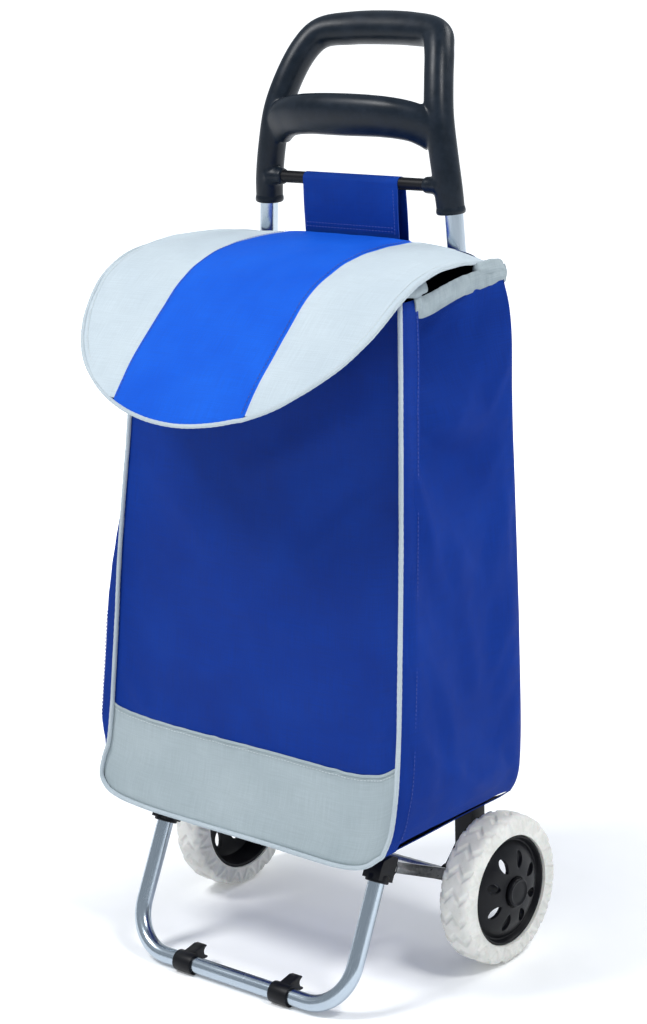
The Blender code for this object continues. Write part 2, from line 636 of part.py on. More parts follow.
def build_collar():
    """Pale drawstring band around the bag's mouth, in three strips."""
    low = BAG_TOP_Z + GAP
    high = low + COLLAR_HEIGHT
    half = between(BAG_FRONT_HALF_WIDTH, BAG_TOP_Z)
    back_half = between(BAG_BACK_HALF_WIDTH, BAG_TOP_Z)
    front = BAG_FRONT_TOP_Y
    back = BAG_SIDE_BACK_Y[1] - 0.006
    corners = ((-half + 0.004, front, low), (half - 0.004, front, low),
               (half - 0.006, front + 0.004, high), (-half + 0.006, front + 0.004, high))
    add_object("collar_front", slab(corners, (0, PANEL, 0)), pale_fabric())
    for side_name, side in SIDES:
        corners = ((side * half, front + 0.008, low), (side * back_half, back, low),
                   (side * (back_half - 0.003), back, high), (side * (half - 0.003), front + 0.008, high))
        add_object("collar_" + side_name, slab(corners, (-side * PANEL, 0, 0)), pale_fabric())


def build_front_piping():
    """Round piping down both front edges and along the bottom of the front."""
    path = []
    heights = (BAG_TOP_Z, 0.45, BAG_BOTTOM_Z - 0.0006)
    for side in (-1, 1):
        half = [Vector((side * (between(BAG_FRONT_HALF_WIDTH, z) - PIPING), front_y(z) + PIPING, z)) for z in heights]
        half.append(Vector((side * (BAG_FRONT_HALF_WIDTH[0] - 0.0050), front_y(BAG_BOTTOM_Z) + PIPING,
                            BAG_BOTTOM_Z - PIPING - 2 * GAP)))
        path += half if side < 0 else list(reversed(half))
    bm = sweep(path, [(PIPING - GAP / 2, PIPING - GAP / 2)] * len(path), Vector((0, -1, 0)), sides=8)
    return add_object("front_piping", bm, pale_fabric())


def build_lid(parent):
    """Rounded flap that arches from the bag's back edge over its front."""
    lengths = [0.0]
    for first, second in zip(LID_PROFILE, LID_PROFILE[1:]):
        lengths.append(lengths[-1] + math.dist(first, second))
    total = lengths[-1]
    bm = bmesh.new()
    columns = 10
    top_rows, bottom_rows = [], []
    for index, (length, (y, z)) in enumerate(zip(lengths, LID_PROFILE)):
        share = length / total
        beyond = max(0.0, (share - LID_ROUND_START) / (1 - LID_ROUND_START))
        half = LID_HALF_WIDTH * math.sqrt(max(0.0, 1 - (0.955 * beyond) ** 2.3))
        before = LID_PROFILE[max(index - 1, 0)]
        after = LID_PROFILE[min(index + 1, len(LID_PROFILE) - 1)]
        slope = math.atan2(after[1] - before[1], after[0] - before[0])
        down = Vector((0.0, -math.sin(slope), math.cos(slope)))
        down = -down if down.z > 0 else down
        top, bottom = [], []
        for c in range(columns + 1):
            x = half * (2 * c / columns - 1)
            point = Vector((x, y, z))
            top.append(bm.verts.new(point))
            bottom.append(bm.verts.new(point + down * LID_THICKNESS))
        top_rows.append(top)
        bottom_rows.append(bottom)
    for rows in (top_rows, bottom_rows):
        for first, second in zip(rows, rows[1:]):
            for c in range(columns):
                bm.faces.new((first[c], first[c + 1], second[c + 1], second[c]))
    rim_top = top_rows[0] + [row[-1] for row in top_rows[1:-1]] + list(reversed(top_rows[-1]))
    rim_top += [row[0] for row in reversed(top_rows[1:-1])]
    rim_bottom = bottom_rows[0] + [row[-1] for row in bottom_rows[1:-1]] + list(reversed(bottom_rows[-1]))
    rim_bottom += [row[0] for row in reversed(bottom_rows[1:-1])]
    bridge(bm, rim_top, rim_bottom)
    return add_object("lid_flap", bm, pale_fabric(), parent)


def build_hanging_strap():
    """Wide strap sewn to the bag's back, looped over the rail."""
    inner = RAIL_RADIUS + GAP
    outer = inner + STRAP_THICKNESS
    outline = [(RAIL_Y - outer, STRAP_END_Z)]
    outline += arc(RAIL_Y, RAIL_Z, outer, 180, 0, 13)
    outline += [(RAIL_Y + outer, STRAP_END_Z), (RAIL_Y + inner, STRAP_END_Z)]
    outline += arc(RAIL_Y, RAIL_Z, inner, 0, 180, 13)
    outline += [(RAIL_Y - inner, STRAP_END_Z)]
    return add_object("hanging_strap", plate(outline, -STRAP_HALF_WIDTH, STRAP_HALF_WIDTH), blue_fabric())


def build_tube_loop(side_name, side):
    """Webbing loop that ties the bag's back to a main tube."""
    z = 0.420
    inner = TUBE_RADIUS + 0.0006
    profile = ((-0.015, inner), (0.015, inner), (0.015, inner + 0.0016), (-0.015, inner + 0.0016))
    bm = turned(profile, 0.0, 0.0, ROUND)
    turn = Vector((0.0, TUBE_LEAN, 1.0)).to_track_quat("X", "Y").to_matrix()
    bmesh.ops.rotate(bm, verts=bm.verts, cent=(0, 0, 0), matrix=turn)
    bmesh.ops.translate(bm, verts=bm.verts, vec=(side * TUBE_X, tube_y(z), z))
    return add_object("tube_loop_" + side_name, bm, blue_fabric())


# ---------------------------------------------------------------- assembly
def build_frame():
    build_handle()
    build_strap_rail()
    build_axle()
    for side_name, side in SIDES:
        build_main_tube(side_name, side)
        build_handle_screw(side_name, side)
        build_rear_bracket(side_name, side)
        build_bracket_rivet(side_name, side)
        build_axle_washer(side_name, side)
        build_axle_cap(side_name, side)


def build_wheels():
    for side_name, side in SIDES:
        spin = pivot("wheel_pivot_" + side_name, AXLE_Y, AXLE_Z)
        build_tyre(side_name, side, spin)
        build_hub(side_name, side, spin)


def build_folding_parts():
    base_pivot = pivot("base_pivot", AXLE_Y, AXLE_Z)
    stand_pivot = pivot("stand_pivot", PIVOT_Y, PIVOT_Z)
    build_stand_tube(stand_pivot)
    for side_name, side in SIDES:
        build_side_bar(side_name, side, base_pivot)
        build_front_bracket(side_name, side, stand_pivot)
        build_stand_rivet(side_name, side, stand_pivot)
        build_foot_clip(side_name, side, stand_pivot)


def build_bag():
    build_front_panel("bag_front_panel", BAG_SEAM_Z + GAP, BAG_TOP_Z, blue_fabric())
    build_front_panel("bag_lower_front_panel", BAG_BOTTOM_Z + 0.003, BAG_SEAM_Z, pale_fabric())
    build_bag_back()
    for side_name, side in SIDES:
        build_bag_side(side_name, side)
        build_tube_loop(side_name, side)
    bottom_slab(BAG_BOTTOM_Z, PANEL, 0.0006, blue_fabric(), "bag_bottom")
    bottom_slab(BAG_BOTTOM_Z + PANEL + GAP, BOARD, 0.0040, board(), "base_board")
    build_collar()
    build_front_piping()
    build_hanging_strap()
    build_lid(pivot("lid_pivot", LID_HINGE_Y, LID_HINGE_Z))


clear_scene()
build_frame()
build_wheels()
build_folding_parts()
build_bag()
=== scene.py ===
"""Looks of a folding shopping trolley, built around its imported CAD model.

Metres, +Z up, -Y is the trolley's front.  "right" is +X.
"""
import json
import math

import bmesh
import bpy
import numpy as np
from mathutils import Matrix, Vector, geometry, noise


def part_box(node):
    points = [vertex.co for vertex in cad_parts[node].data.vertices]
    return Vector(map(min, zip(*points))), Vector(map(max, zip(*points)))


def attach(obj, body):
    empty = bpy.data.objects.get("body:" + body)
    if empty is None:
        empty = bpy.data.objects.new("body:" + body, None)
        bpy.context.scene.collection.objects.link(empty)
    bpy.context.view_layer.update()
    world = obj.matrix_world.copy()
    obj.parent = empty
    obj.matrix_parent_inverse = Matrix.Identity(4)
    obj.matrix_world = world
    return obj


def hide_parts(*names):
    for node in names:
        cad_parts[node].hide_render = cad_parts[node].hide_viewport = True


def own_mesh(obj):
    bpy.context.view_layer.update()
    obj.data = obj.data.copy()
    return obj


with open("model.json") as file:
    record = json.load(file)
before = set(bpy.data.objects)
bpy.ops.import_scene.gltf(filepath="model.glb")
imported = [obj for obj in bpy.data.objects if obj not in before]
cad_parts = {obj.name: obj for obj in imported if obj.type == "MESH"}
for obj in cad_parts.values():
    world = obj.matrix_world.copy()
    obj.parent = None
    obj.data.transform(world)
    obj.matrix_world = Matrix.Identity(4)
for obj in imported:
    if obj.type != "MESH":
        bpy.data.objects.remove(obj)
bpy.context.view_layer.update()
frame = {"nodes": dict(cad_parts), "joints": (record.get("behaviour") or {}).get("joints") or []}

SIDES = (("left", -1), ("right", 1))
JOINT_AT = {joint["name"]: Vector(joint["pos_m"]) for joint in frame["joints"]}
AXLE = JOINT_AT["wheel_right_spin"]
STAND_PIVOT = JOINT_AT["stand_fold"]
LID_HINGE = JOINT_AT["lid_open"]


def low(node):
    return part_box(node)[0]


def high(node):
    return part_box(node)[1]


def middle(node):
    return (low(node) + high(node)) / 2


# ---------------------------------------------------------------- camera, light and floor
def build_camera():
    data = bpy.data.cameras.new("camera")
    data.lens = 89.59
    data.sensor_width = 36.0
    camera = bpy.data.objects.new("camera", data)
    right = Vector((0.7579, 0.6499, -0.0572))
    up = Vector((-0.1302, 0.2366, 0.9628))
    backward = right.cross(up).normalized()
    up = backward.cross(right.normalized())
    turn = Matrix((right.normalized(), up, backward)).transposed()
    camera.matrix_world = Matrix.Translation((1.6925, -1.8796, 1.1651)) @ turn.to_4x4()
    bpy.context.scene.collection.objects.link(camera)
    bpy.context.scene.camera = camera


def area_light(name, position, target, size, power, colour=(1.0, 1.0, 1.0)):
    data = bpy.data.lights.new(name, "AREA")
    data.shape = "RECTANGLE"
    data.size, data.size_y = size
    data.energy = power
    data.color = colour
    lamp = bpy.data.objects.new(name, data)
    direction = Vector(target) - Vector(position)
    lamp.rotation_euler = direction.to_track_quat("-Z", "Y").to_euler()
    lamp.location = position
    bpy.context.scene.collection.objects.link(lamp)


def build_lights():
    area_light("key", (-1.1, -1.5, 3.0), (0, 0, 0.45), (0.9, 0.9), 67)
    area_light("fill", (1.9, -0.2, 2.7), (0.1, 0, 0.5), (0.6, 0.6), 39)
    area_light("back", (0.9, 2.2, 2.4), (0, 0, 0.5), (1.4, 1.0), 26)
    world = bpy.data.worlds.new("studio")
    world.use_nodes = True
    background = world.node_tree.nodes["Background"]
    background.inputs["Color"].default_value = (0.86, 0.93, 1.0, 1.0)
    background.inputs["Strength"].default_value = 0.46
    bpy.context.scene.world = world
    bpy.context.scene.view_settings.view_transform = "Standard"


def build_floor(mat):
    """Level paper that reaches beyond what any view sees."""
    reach = 40.0
    vertices = [(x * reach, y * reach, 0.0) for x, y in ((-1, -1), (1, -1), (1, 1), (-1, 1))]
    mesh_object("floor", vertices, [(0, 1, 2, 3)], mat)


# ---------------------------------------------------------------- materials
class Recipe:
    """A Principled material with its nodes made by short calls."""

    def __init__(self, name, roughness=0.5, **constants):
        self.material = bpy.data.materials.new(name)
        self.material.use_nodes = True
        self.tree = self.material.node_tree
        self.shader = self.tree.nodes["Principled BSDF"]
        self.shader.inputs["Roughness"].default_value = roughness
        for key, value in constants.items():
            self.shader.inputs[key.replace("_", " ")].default_value = value

    def put(self, target, value):
        if isinstance(value, bpy.types.NodeSocket):
            self.tree.links.new(value, target)
        elif value is not None:
            target.default_value = value

    def node(self, kind, output=0, settings=(), **values):
        made = self.tree.nodes.new("ShaderNode" + kind)
        for key, value in dict(settings).items():
            setattr(made, key, value)
        for key, value in values.items():
            name = key.replace("_", " ")
            target = made.inputs[int(name[1:])] if name[0] == "i" and name[1:].isdigit() else made.inputs[name]
            self.put(target, value)
        return made.outputs[output]

    def maths(self, operation, a, b=None, c=None):
        return self.node("Math", settings={"operation": operation}, i0=a, i1=b, i2=c)

    def remap(self, value, from_low, from_high, to_low, to_high):
        return self.node("MapRange", Value=value, From_Min=from_low, From_Max=from_high, To_Min=to_low, To_Max=to_high)

    def mix(self, factor, first, second):
        made = self.tree.nodes.new("ShaderNodeMix")
        made.data_type = "RGBA"
        self.put(made.inputs[0], factor)
        self.put(made.inputs[6], first)
        self.put(made.inputs[7], second)
        return made.outputs[2]

    def surface(self):
        """Distances along the piece's own surface, in metres."""
        return self.node("Attribute", output=1, settings={"attribute_name": "surface"})

    def place(self):
        """Position on the object, in metres."""
        return self.node("TexCoord", output=3)

    def stretch(self, vector, scale):
        return self.node("Mapping", Vector=vector, Scale=scale)

    def noise(self, vector, scale, detail=3.0, rough=0.55):
        return self.node("TexNoise", Vector=vector, Scale=scale, Detail=detail, Roughness=rough)

    def colour(self, value):
        self.put(self.shader.inputs["Base Color"], value)

    def rough(self, value):
        self.put(self.shader.inputs["Roughness"], value)

    def bump(self, height, distance, strength=1.0, after=None):
        made = self.tree.nodes.new("ShaderNodeBump")
        made.inputs["Distance"].default_value = distance
        made.inputs["Strength"].default_value = strength
        self.put(made.inputs["Height"], height)
        if after is not None:
            self.put(made.inputs["Normal"], after)
        self.put(self.shader.inputs["Normal"], made.outputs[0])
        return made.outputs[0]


def rgb(red, green, blue):
    return (red, green, blue, 1.0)


def weave_height(recipe, pitch):
    """Plain weave: threads pass over and under each other, one thread for each pitch."""
    split = recipe.tree.nodes.new("ShaderNodeSeparateXYZ")
    recipe.put(split.inputs[0], recipe.surface())
    across = recipe.maths("MULTIPLY", split.outputs[0], 1.0 / pitch)
    along = recipe.maths("MULTIPLY", split.outputs[1], 1.0 / pitch)
    wave_a = recipe.maths("ABSOLUTE", recipe.maths("SINE", recipe.maths("MULTIPLY", across, math.pi)))
    wave_b = recipe.maths("ABSOLUTE", recipe.maths("SINE", recipe.maths("MULTIPLY", along, math.pi)))
    cells = recipe.maths("ADD", recipe.maths("FLOOR", across), recipe.maths("FLOOR", along))
    parity = recipe.maths("PINGPONG", cells, 1.0)
    over = recipe.maths("MULTIPLY", recipe.maths("POWER", wave_a, 1.3), recipe.maths("POWER", wave_b, 0.35))
    under = recipe.maths("MULTIPLY", recipe.maths("POWER", wave_a, 0.35), recipe.maths("POWER", wave_b, 1.3))
    gap = recipe.maths("SUBTRACT", under, over)
    return recipe.maths("MULTIPLY_ADD", gap, parity, over)


def fabric(name, dark, base, lit, pitch=0.0009, roughness=0.62, sheen=0.25, bump=0.55):
    """Woven nylon: thread relief, faint bands in the yarn, painted shade in the low parts of the weave and soft
    crumple.
    """
    recipe = Recipe(name, Sheen_Weight=sheen, Sheen_Roughness=0.45, Specular_IOR_Level=0.10)
    recipe.shader.inputs["Sheen Tint"].default_value = lit
    threads = weave_height(recipe, pitch)
    flat = recipe.surface()
    slubs = recipe.noise(recipe.stretch(flat, (1.0, 0.03, 1.0)), 900.0, 2.0)
    slubs_across = recipe.noise(recipe.stretch(flat, (0.03, 1.0, 1.0)), 900.0, 2.0)
    yarn = recipe.maths("MULTIPLY", recipe.maths("ADD", slubs, slubs_across), 0.5)
    clouds = recipe.noise(recipe.place(), 11.0, 4.0)
    tone = recipe.mix(recipe.remap(clouds, 0.35, 0.7, 0.0, 0.75), base, lit)
    tone = recipe.mix(recipe.remap(yarn, 0.38, 0.62, 0.35, 0.0), tone, dark)
    # painted shade: where the weave sinks between threads the colour goes towards the dark colour
    tone = recipe.mix(recipe.remap(threads, 0.0, 0.7, 0.5, 0.0), tone, dark)
    recipe.colour(tone)
    recipe.rough(recipe.remap(yarn, 0.3, 0.7, roughness - 0.08, roughness + 0.1))
    crumple = recipe.noise(recipe.place(), 60.0, 3.0)
    first = recipe.bump(crumple, 0.0012, 0.35)
    recipe.bump(threads, 0.00035, bump, first)
    return recipe.material


def steel(name, base, dark, roughness):
    """Satin drawn tube: fine streaks along it, faint scuffs."""
    recipe = Recipe(name, Metallic=1.0)
    flat = recipe.surface()
    streaks = recipe.noise(recipe.stretch(flat, (1.0, 0.012, 1.0)), 1400.0, 3.0)
    scuffs = recipe.noise(recipe.place(), 130.0, 5.0, 0.7)
    spots = recipe.remap(scuffs, 0.60, 0.78, 0.0, 0.08)
    recipe.colour(recipe.mix(spots, base, dark))
    recipe.rough(recipe.maths("ADD", recipe.remap(streaks, 0.3, 0.7, roughness - 0.05, roughness + 0.07), spots))
    recipe.bump(streaks, 0.00008, 0.35)
    return recipe.material


def zinc(name):
    """Plated steel for bars, rivets and the axle, mottled and a little scratched."""
    recipe = Recipe(name, Metallic=1.0)
    mottle = recipe.noise(recipe.place(), 220.0, 4.0)
    scratch = recipe.noise(recipe.stretch(recipe.place(), (1.0, 0.08, 0.6)), 700.0, 3.0)
    recipe.colour(recipe.mix(recipe.remap(mottle, 0.35, 0.65, 0.0, 1.0), rgb(0.42, 0.43, 0.44), rgb(0.60, 0.60, 0.60)))
    recipe.rough(recipe.remap(scratch, 0.3, 0.7, 0.26, 0.44))
    recipe.bump(scratch, 0.0001, 0.3)
    return recipe.material


def plastic(name, base, lit, roughness, grain, grain_depth, coat=0.0):
    """Moulded plastic: a fine spark-eroded grain, a slightly uneven skin and rubbed patches."""
    recipe = Recipe(name, Coat_Weight=coat, Coat_Roughness=0.25, Specular_IOR_Level=0.20)
    skin = recipe.noise(recipe.place(), grain, 3.0)
    flow = recipe.noise(recipe.place(), 18.0, 3.0)
    rub = recipe.noise(recipe.place(), 55.0, 5.0, 0.7)
    recipe.colour(recipe.mix(recipe.remap(rub, 0.4, 0.75, 0.0, 1.0), base, lit))
    recipe.rough(recipe.remap(rub, 0.3, 0.7, roughness - 0.05, roughness + 0.08))
    first = recipe.bump(flow, 0.0012, 0.25)
    recipe.bump(skin, grain_depth, 0.5, first)
    return recipe.material


def foam(name):
    """Off-white expanded foam of the tyres: tiny pits, mottling and a little grey in patches spread by noise."""
    recipe = Recipe(name, roughness=0.8, Specular_IOR_Level=0.3, Subsurface_Weight=0.08, Subsurface_Scale=0.004)
    pits = recipe.node("TexVoronoi", Vector=recipe.place(), Scale=900.0)
    blotch = recipe.noise(recipe.place(), 45.0, 4.0)
    dirt = recipe.noise(recipe.place(), 160.0, 5.0, 0.7)
    tone = recipe.mix(recipe.remap(blotch, 0.35, 0.65, 0.0, 1.0), rgb(0.66, 0.655, 0.62), rgb(0.76, 0.755, 0.72))
    tone = recipe.mix(recipe.remap(dirt, 0.56, 0.80, 0.0, 0.5), tone, rgb(0.46, 0.45, 0.41))
    recipe.colour(tone)
    recipe.rough(recipe.remap(dirt, 0.3, 0.7, 0.70, 0.90))
    first = recipe.bump(blotch, 0.0010, 0.3)
    recipe.bump(pits, 0.0004, 0.35, first)
    return recipe.material


def thread(name, base):
    recipe = Recipe(name, Sheen_Weight=0.2)
    twist = recipe.noise(recipe.stretch(recipe.surface(), (1.0, 0.3, 1.0)), 2500.0, 2.0)
    recipe.colour(recipe.mix(recipe.remap(twist, 0.3, 0.7, 0.0, 1.0), base, rgb(*[c * 0.7 for c in base[:3]])))
    recipe.rough(recipe.remap(twist, 0.3, 0.7, 0.55, 0.75))
    recipe.bump(twist, 0.0001, 0.5)
    return recipe.material


def glowing_floor_paper(name):
    recipe = Recipe(name, roughness=0.9, Specular_IOR_Level=0.1)
    fibres = recipe.noise(recipe.place(), 30.0, 4.0)
    recipe.colour(recipe.mix(recipe.remap(fibres, 0.3, 0.7, 0.0, 1.0), rgb(0.92, 0.93, 0.94), rgb(0.95, 0.96, 0.97)))
    # painted light: the floor glows, faintly under the trolley and more strongly further out
    distance = recipe.node("VectorMath", output=1, settings={"operation": "LENGTH"}, i0=recipe.place())
    recipe.shader.inputs["Emission Color"].default_value = rgb(1.0, 1.0, 1.0)
    recipe.put(recipe.shader.inputs["Emission Strength"], recipe.remap(distance, 0.3, 1.8, 0.12, 0.80))
    return recipe.material


# The first colour of each fabric is the dark of its yarn bands and also the painted shade between its threads.
BLUE = fabric("blue_nylon", rgb(0.001, 0.014, 0.13), rgb(0.002, 0.030, 0.25), rgb(0.003, 0.044, 0.33), sheen=0.02)
BLUE_STRAP = fabric("blue_strap", rgb(0.001, 0.018, 0.15), rgb(0.002, 0.040, 0.29), rgb(0.004, 0.055, 0.38), 0.0011,
                    sheen=0.03)
LID_BLUE = fabric("lid_blue", rgb(0.002, 0.050, 0.40), rgb(0.005, 0.100, 0.64), rgb(0.010, 0.140, 0.76), sheen=0.03)
LID_PALE = fabric("lid_pale", rgb(0.36, 0.42, 0.46), rgb(0.52, 0.60, 0.66), rgb(0.60, 0.68, 0.73), sheen=0.03)
# The collar cloth is a darker tone of the pale cloth: painted shade.
SHADED_COLLAR_CLOTH = fabric("collar_nylon_painted_shade", rgb(0.22, 0.27, 0.29), rgb(0.32, 0.38, 0.41), rgb(0.42, 0.48, 0.51), sheen=0.03)
PALE = fabric("pale_nylon", rgb(0.26, 0.31, 0.33), rgb(0.39, 0.46, 0.49), rgb(0.46, 0.53, 0.56), sheen=0.03)
LINING = fabric("dark_lining", rgb(0.003, 0.004, 0.006), rgb(0.006, 0.007, 0.012), rgb(0.010, 0.012, 0.018), sheen=0.02)
PIPING = fabric("piping_cloth", rgb(0.34, 0.40, 0.44), rgb(0.50, 0.57, 0.62), rgb(0.58, 0.65, 0.69), 0.0006, sheen=0.03)
STEEL = steel("satin_steel", rgb(0.46, 0.53, 0.60), rgb(0.30, 0.35, 0.40), 0.22)
ZINC = zinc("zinc_plate")
# Both near-black plastics carry a blue tint, strong on the handle and faint on the rest: a painted bluish sheen over
# their own black.
HANDLE = plastic("handle_plastic", rgb(0.004, 0.008, 0.014), rgb(0.009, 0.015, 0.025), 0.34, 900.0, 0.00006)
BLACK = plastic("black_plastic", rgb(0.003, 0.003, 0.005), rgb(0.006, 0.007, 0.009), 0.40, 1200.0, 0.00010)
FOAM = foam("tyre_foam")
BOARD = plastic("base_board", rgb(0.030, 0.030, 0.033), rgb(0.060, 0.060, 0.064), 0.6, 500.0, 0.0002)
PALE_THREAD = thread("pale_thread", rgb(0.62, 0.68, 0.70))
BLUE_THREAD = thread("blue_thread", rgb(0.012, 0.05, 0.36))
GLOWING_PAPER = glowing_floor_paper("glowing_floor_paper")


# ---------------------------------------------------------------- mesh building blocks
def mesh_object(name, vertices, faces, mat, surface=None, smooth_angle=40.0):
    mesh = bpy.data.meshes.new(name)
    mesh.from_pydata([tuple(float(c) for c in v) for v in vertices], [], [tuple(f) for f in faces])
    if surface is not None:
        add_surface(mesh, surface)
    for one in (mat if isinstance(mat, (list, tuple)) else [mat]):
        mesh.materials.append(one)
    mesh.shade_smooth()
    mesh.set_sharp_from_angle(angle=math.radians(smooth_angle))
    made = bpy.data.objects.new(name, mesh)
    bpy.context.scene.collection.objects.link(made)
    return made


def add_surface(mesh, surface):
    attribute = mesh.attributes.new("surface", "FLOAT_VECTOR", "POINT")
    values = np.zeros((len(mesh.vertices), 3), np.float32)
    values[:, :2] = np.asarray(surface, np.float32).reshape(-1, 2)
    attribute.data.foreach_set("vector", values.ravel())


def give_place_as_surface(piece):
    """A turned or cut piece takes its surface distances from its position."""
    mesh = piece.data
    if not mesh.attributes.get("surface"):
        add_surface(mesh, [(v.co.y + v.co.x * 0.5, v.co.z + v.co.x * 0.5) for v in mesh.vertices])


def settle(piece, smooth_angle=None):
    """Apply all of a piece's modifiers to its mesh."""
    bpy.context.view_layer.update()
    evaluated = piece.evaluated_get(bpy.context.evaluated_depsgraph_get())
    mesh = bpy.data.meshes.new_from_object(evaluated)
    piece.modifiers.clear()
    piece.data = mesh
    if smooth_angle is not None:
        mesh.shade_smooth()
        mesh.set_sharp_from_angle(angle=math.radians(smooth_angle))
    return piece


def grid_faces(rows, columns, start=0, wrap=False, flip=False):
    faces = []
    count = columns if wrap else columns - 1
    for r in range(rows - 1):
        for c in range(count):
            d = (c + 1) % columns
            quad = (start + r * columns + c, start + r * columns + d,
                    start + (r + 1) * columns + d, start + (r + 1) * columns + c)
            faces.append(quad[::-1] if flip else quad)
    return faces


def lengths_along(points):
    steps = np.linalg.norm(np.diff(points, axis=0), axis=1)
    return np.concatenate([[0.0], np.cumsum(steps)])


def grid_surface(grid):
    """Distances across and up a grid of points, in metres, measured along its middle lines."""
    rows, columns = grid.shape[:2]
    across = lengths_along(grid[rows // 2])
    up = lengths_along(grid[:, columns // 2])
    return np.stack(np.meshgrid(across, up), axis=-1)


def sheet_object(name, grid, mat, thickness, subdivide=1, inward=1, surface=None, rim=0, lining=None):
    """Cloth from a grid of points, with a thickness on its inner side."""
    rows, columns = grid.shape[:2]
    flat = grid_surface(grid) if surface is None else surface
    mats = [mat] if lining is None else [mat, lining]
    piece = mesh_object(name, grid.reshape(-1, 3), grid_faces(rows, columns, flip=inward < 0), mats, flat, 180.0)
    if subdivide:
        smooth = piece.modifiers.new("smooth", "SUBSURF")
        smooth.levels = smooth.render_levels = subdivide
        smooth.boundary_smooth = "PRESERVE_CORNERS"
    solid = piece.modifiers.new("thickness", "SOLIDIFY")
    solid.thickness = thickness
    solid.offset = -1.0
    if lining is not None:
        solid.material_offset = 1
    return settle(piece, 60.0)


def catmull(points, count, closed=False):
    """Even samples of a smooth curve through points, which may carry extra values."""
    p = np.asarray(points, float)
    n = len(p)
    if closed:
        p = np.vstack([p[-1], p, p[0], p[1]])
    else:
        p = np.vstack([2 * p[0] - p[1], p, 2 * p[-1] - p[-2]])
    dense = []
    for i in range(1, len(p) - 2):
        t = np.linspace(0, 1, 24, endpoint=False)[:, None]
        dense.append(0.5 * (2 * p[i] + (p[i + 1] - p[i - 1]) * t
                            + (2 * p[i - 1] - 5 * p[i] + 4 * p[i + 1] - p[i + 2]) * t ** 2
                            + (3 * p[i] - p[i - 1] - 3 * p[i + 1] + p[i + 2]) * t ** 3))
    dense = np.vstack(dense + [p[-2][None, :]])
    length = lengths_along(dense[:, :3])
    samples = np.linspace(0, length[-1], count + 1 if closed else count)
    if closed:
        samples = samples[:-1]
    return np.stack([np.interp(samples, length, dense[:, k]) for k in range(dense.shape[1])], axis=1)


def transported_frames(path, up, closed=False):
    """Across and up directions along a path, turned as little as possible from point to point."""
    count = len(path)
    tangents = []
    for i in range(count):
        after = path[(i + 1) % count] if closed or i < count - 1 else path[i]
        before = path[i - 1] if closed or i > 0 else path[i]
        tangents.append(Vector(after - before).normalized())
    upward = Vector(up)
    frames = []
    for tangent in tangents:
        upward = (upward - tangent * upward.dot(tangent)).normalized()
        frames.append((tangent.cross(upward).normalized(), upward.copy()))
    return tangents, frames


def swept(name, path, halves, up, mat, sides=32, ends="flat", power=2.0, ripple=None, smooth_angle=40.0,
          closed=False):
    """A bar or tube with a rounded section along a path; round ends close in a dome."""
    path = np.asarray(path, float)
    halves = np.broadcast_to(np.asarray(halves, float), (len(path), 2)).copy()
    if ends == "round":
        caps = np.linspace(0, 1, 7)[:-1]
        start_in = path[0] - path[1]
        end_in = path[-1] - path[-2]
        start_in /= np.linalg.norm(start_in)
        end_in /= np.linalg.norm(end_in)
        first = [path[0] + start_in * halves[0].min() * math.sqrt(1 - c * c) for c in caps]
        last = [path[-1] + end_in * halves[-1].min() * math.sqrt(1 - c * c) for c in caps[::-1]]
        sizes = [halves[0] * max(c, 0.02) for c in caps]
        sizes_end = [halves[-1] * max(c, 0.02) for c in caps[::-1]]
        path = np.vstack([first, path, last])
        halves = np.vstack([sizes, halves, sizes_end])
    tangents, frames = transported_frames(path, up, closed)
    along = lengths_along(path)
    vertices, surface = [], []
    angles = np.arange(sides) * math.tau / sides
    for i, (across, upward) in enumerate(frames):
        half_a, half_b = halves[i]
        for j, a in enumerate(angles):
            ca = math.copysign(abs(math.cos(a)) ** (2 / power), math.cos(a))
            sa = math.copysign(abs(math.sin(a)) ** (2 / power), math.sin(a))
            grow = 1.0 if ripple is None else 1.0 + ripple(along[i], a) / max(min(half_a, half_b), 1e-4)
            vertices.append(Vector(path[i]) + across * (half_a * ca * grow) + upward * (half_b * sa * grow))
            surface.append((abs(a / math.pi - 1.0) * math.pi * halves.max(), along[i]))
    faces = grid_faces(len(path), sides, wrap=True, flip=True)
    if closed:
        last_row = (len(path) - 1) * sides
        faces += [(last_row + (j + 1) % sides, last_row + j, j, (j + 1) % sides) for j in range(sides)][::1]
        faces = faces[:-sides] + [f[::-1] for f in faces[-sides:]]
    else:
        faces.append(tuple(range(sides)))
        faces.append(tuple(reversed([(len(path) - 1) * sides + j for j in range(sides)])))
    piece = mesh_object(name, vertices, faces, mat, surface, smooth_angle)
    fix_normals(piece)
    return piece


def fix_normals(piece):
    bm = bmesh.new()
    bm.from_mesh(piece.data)
    bmesh.ops.recalc_face_normals(bm, faces=bm.faces)
    bm.to_mesh(piece.data)
    bm.free()


def hollow(piece, wall):
    """Open a tube's two end faces and give it a wall."""
    bm = bmesh.new()
    bm.from_mesh(piece.data)
    ends = [f for f in bm.faces if len(f.verts) > 4]
    bmesh.ops.delete(bm, geom=ends, context="FACES_ONLY")
    bm.to_mesh(piece.data)
    bm.free()
    solid = piece.modifiers.new("wall", "SOLIDIFY")
    solid.thickness = wall
    solid.offset = -1.0
    return settle(piece, 40.0)


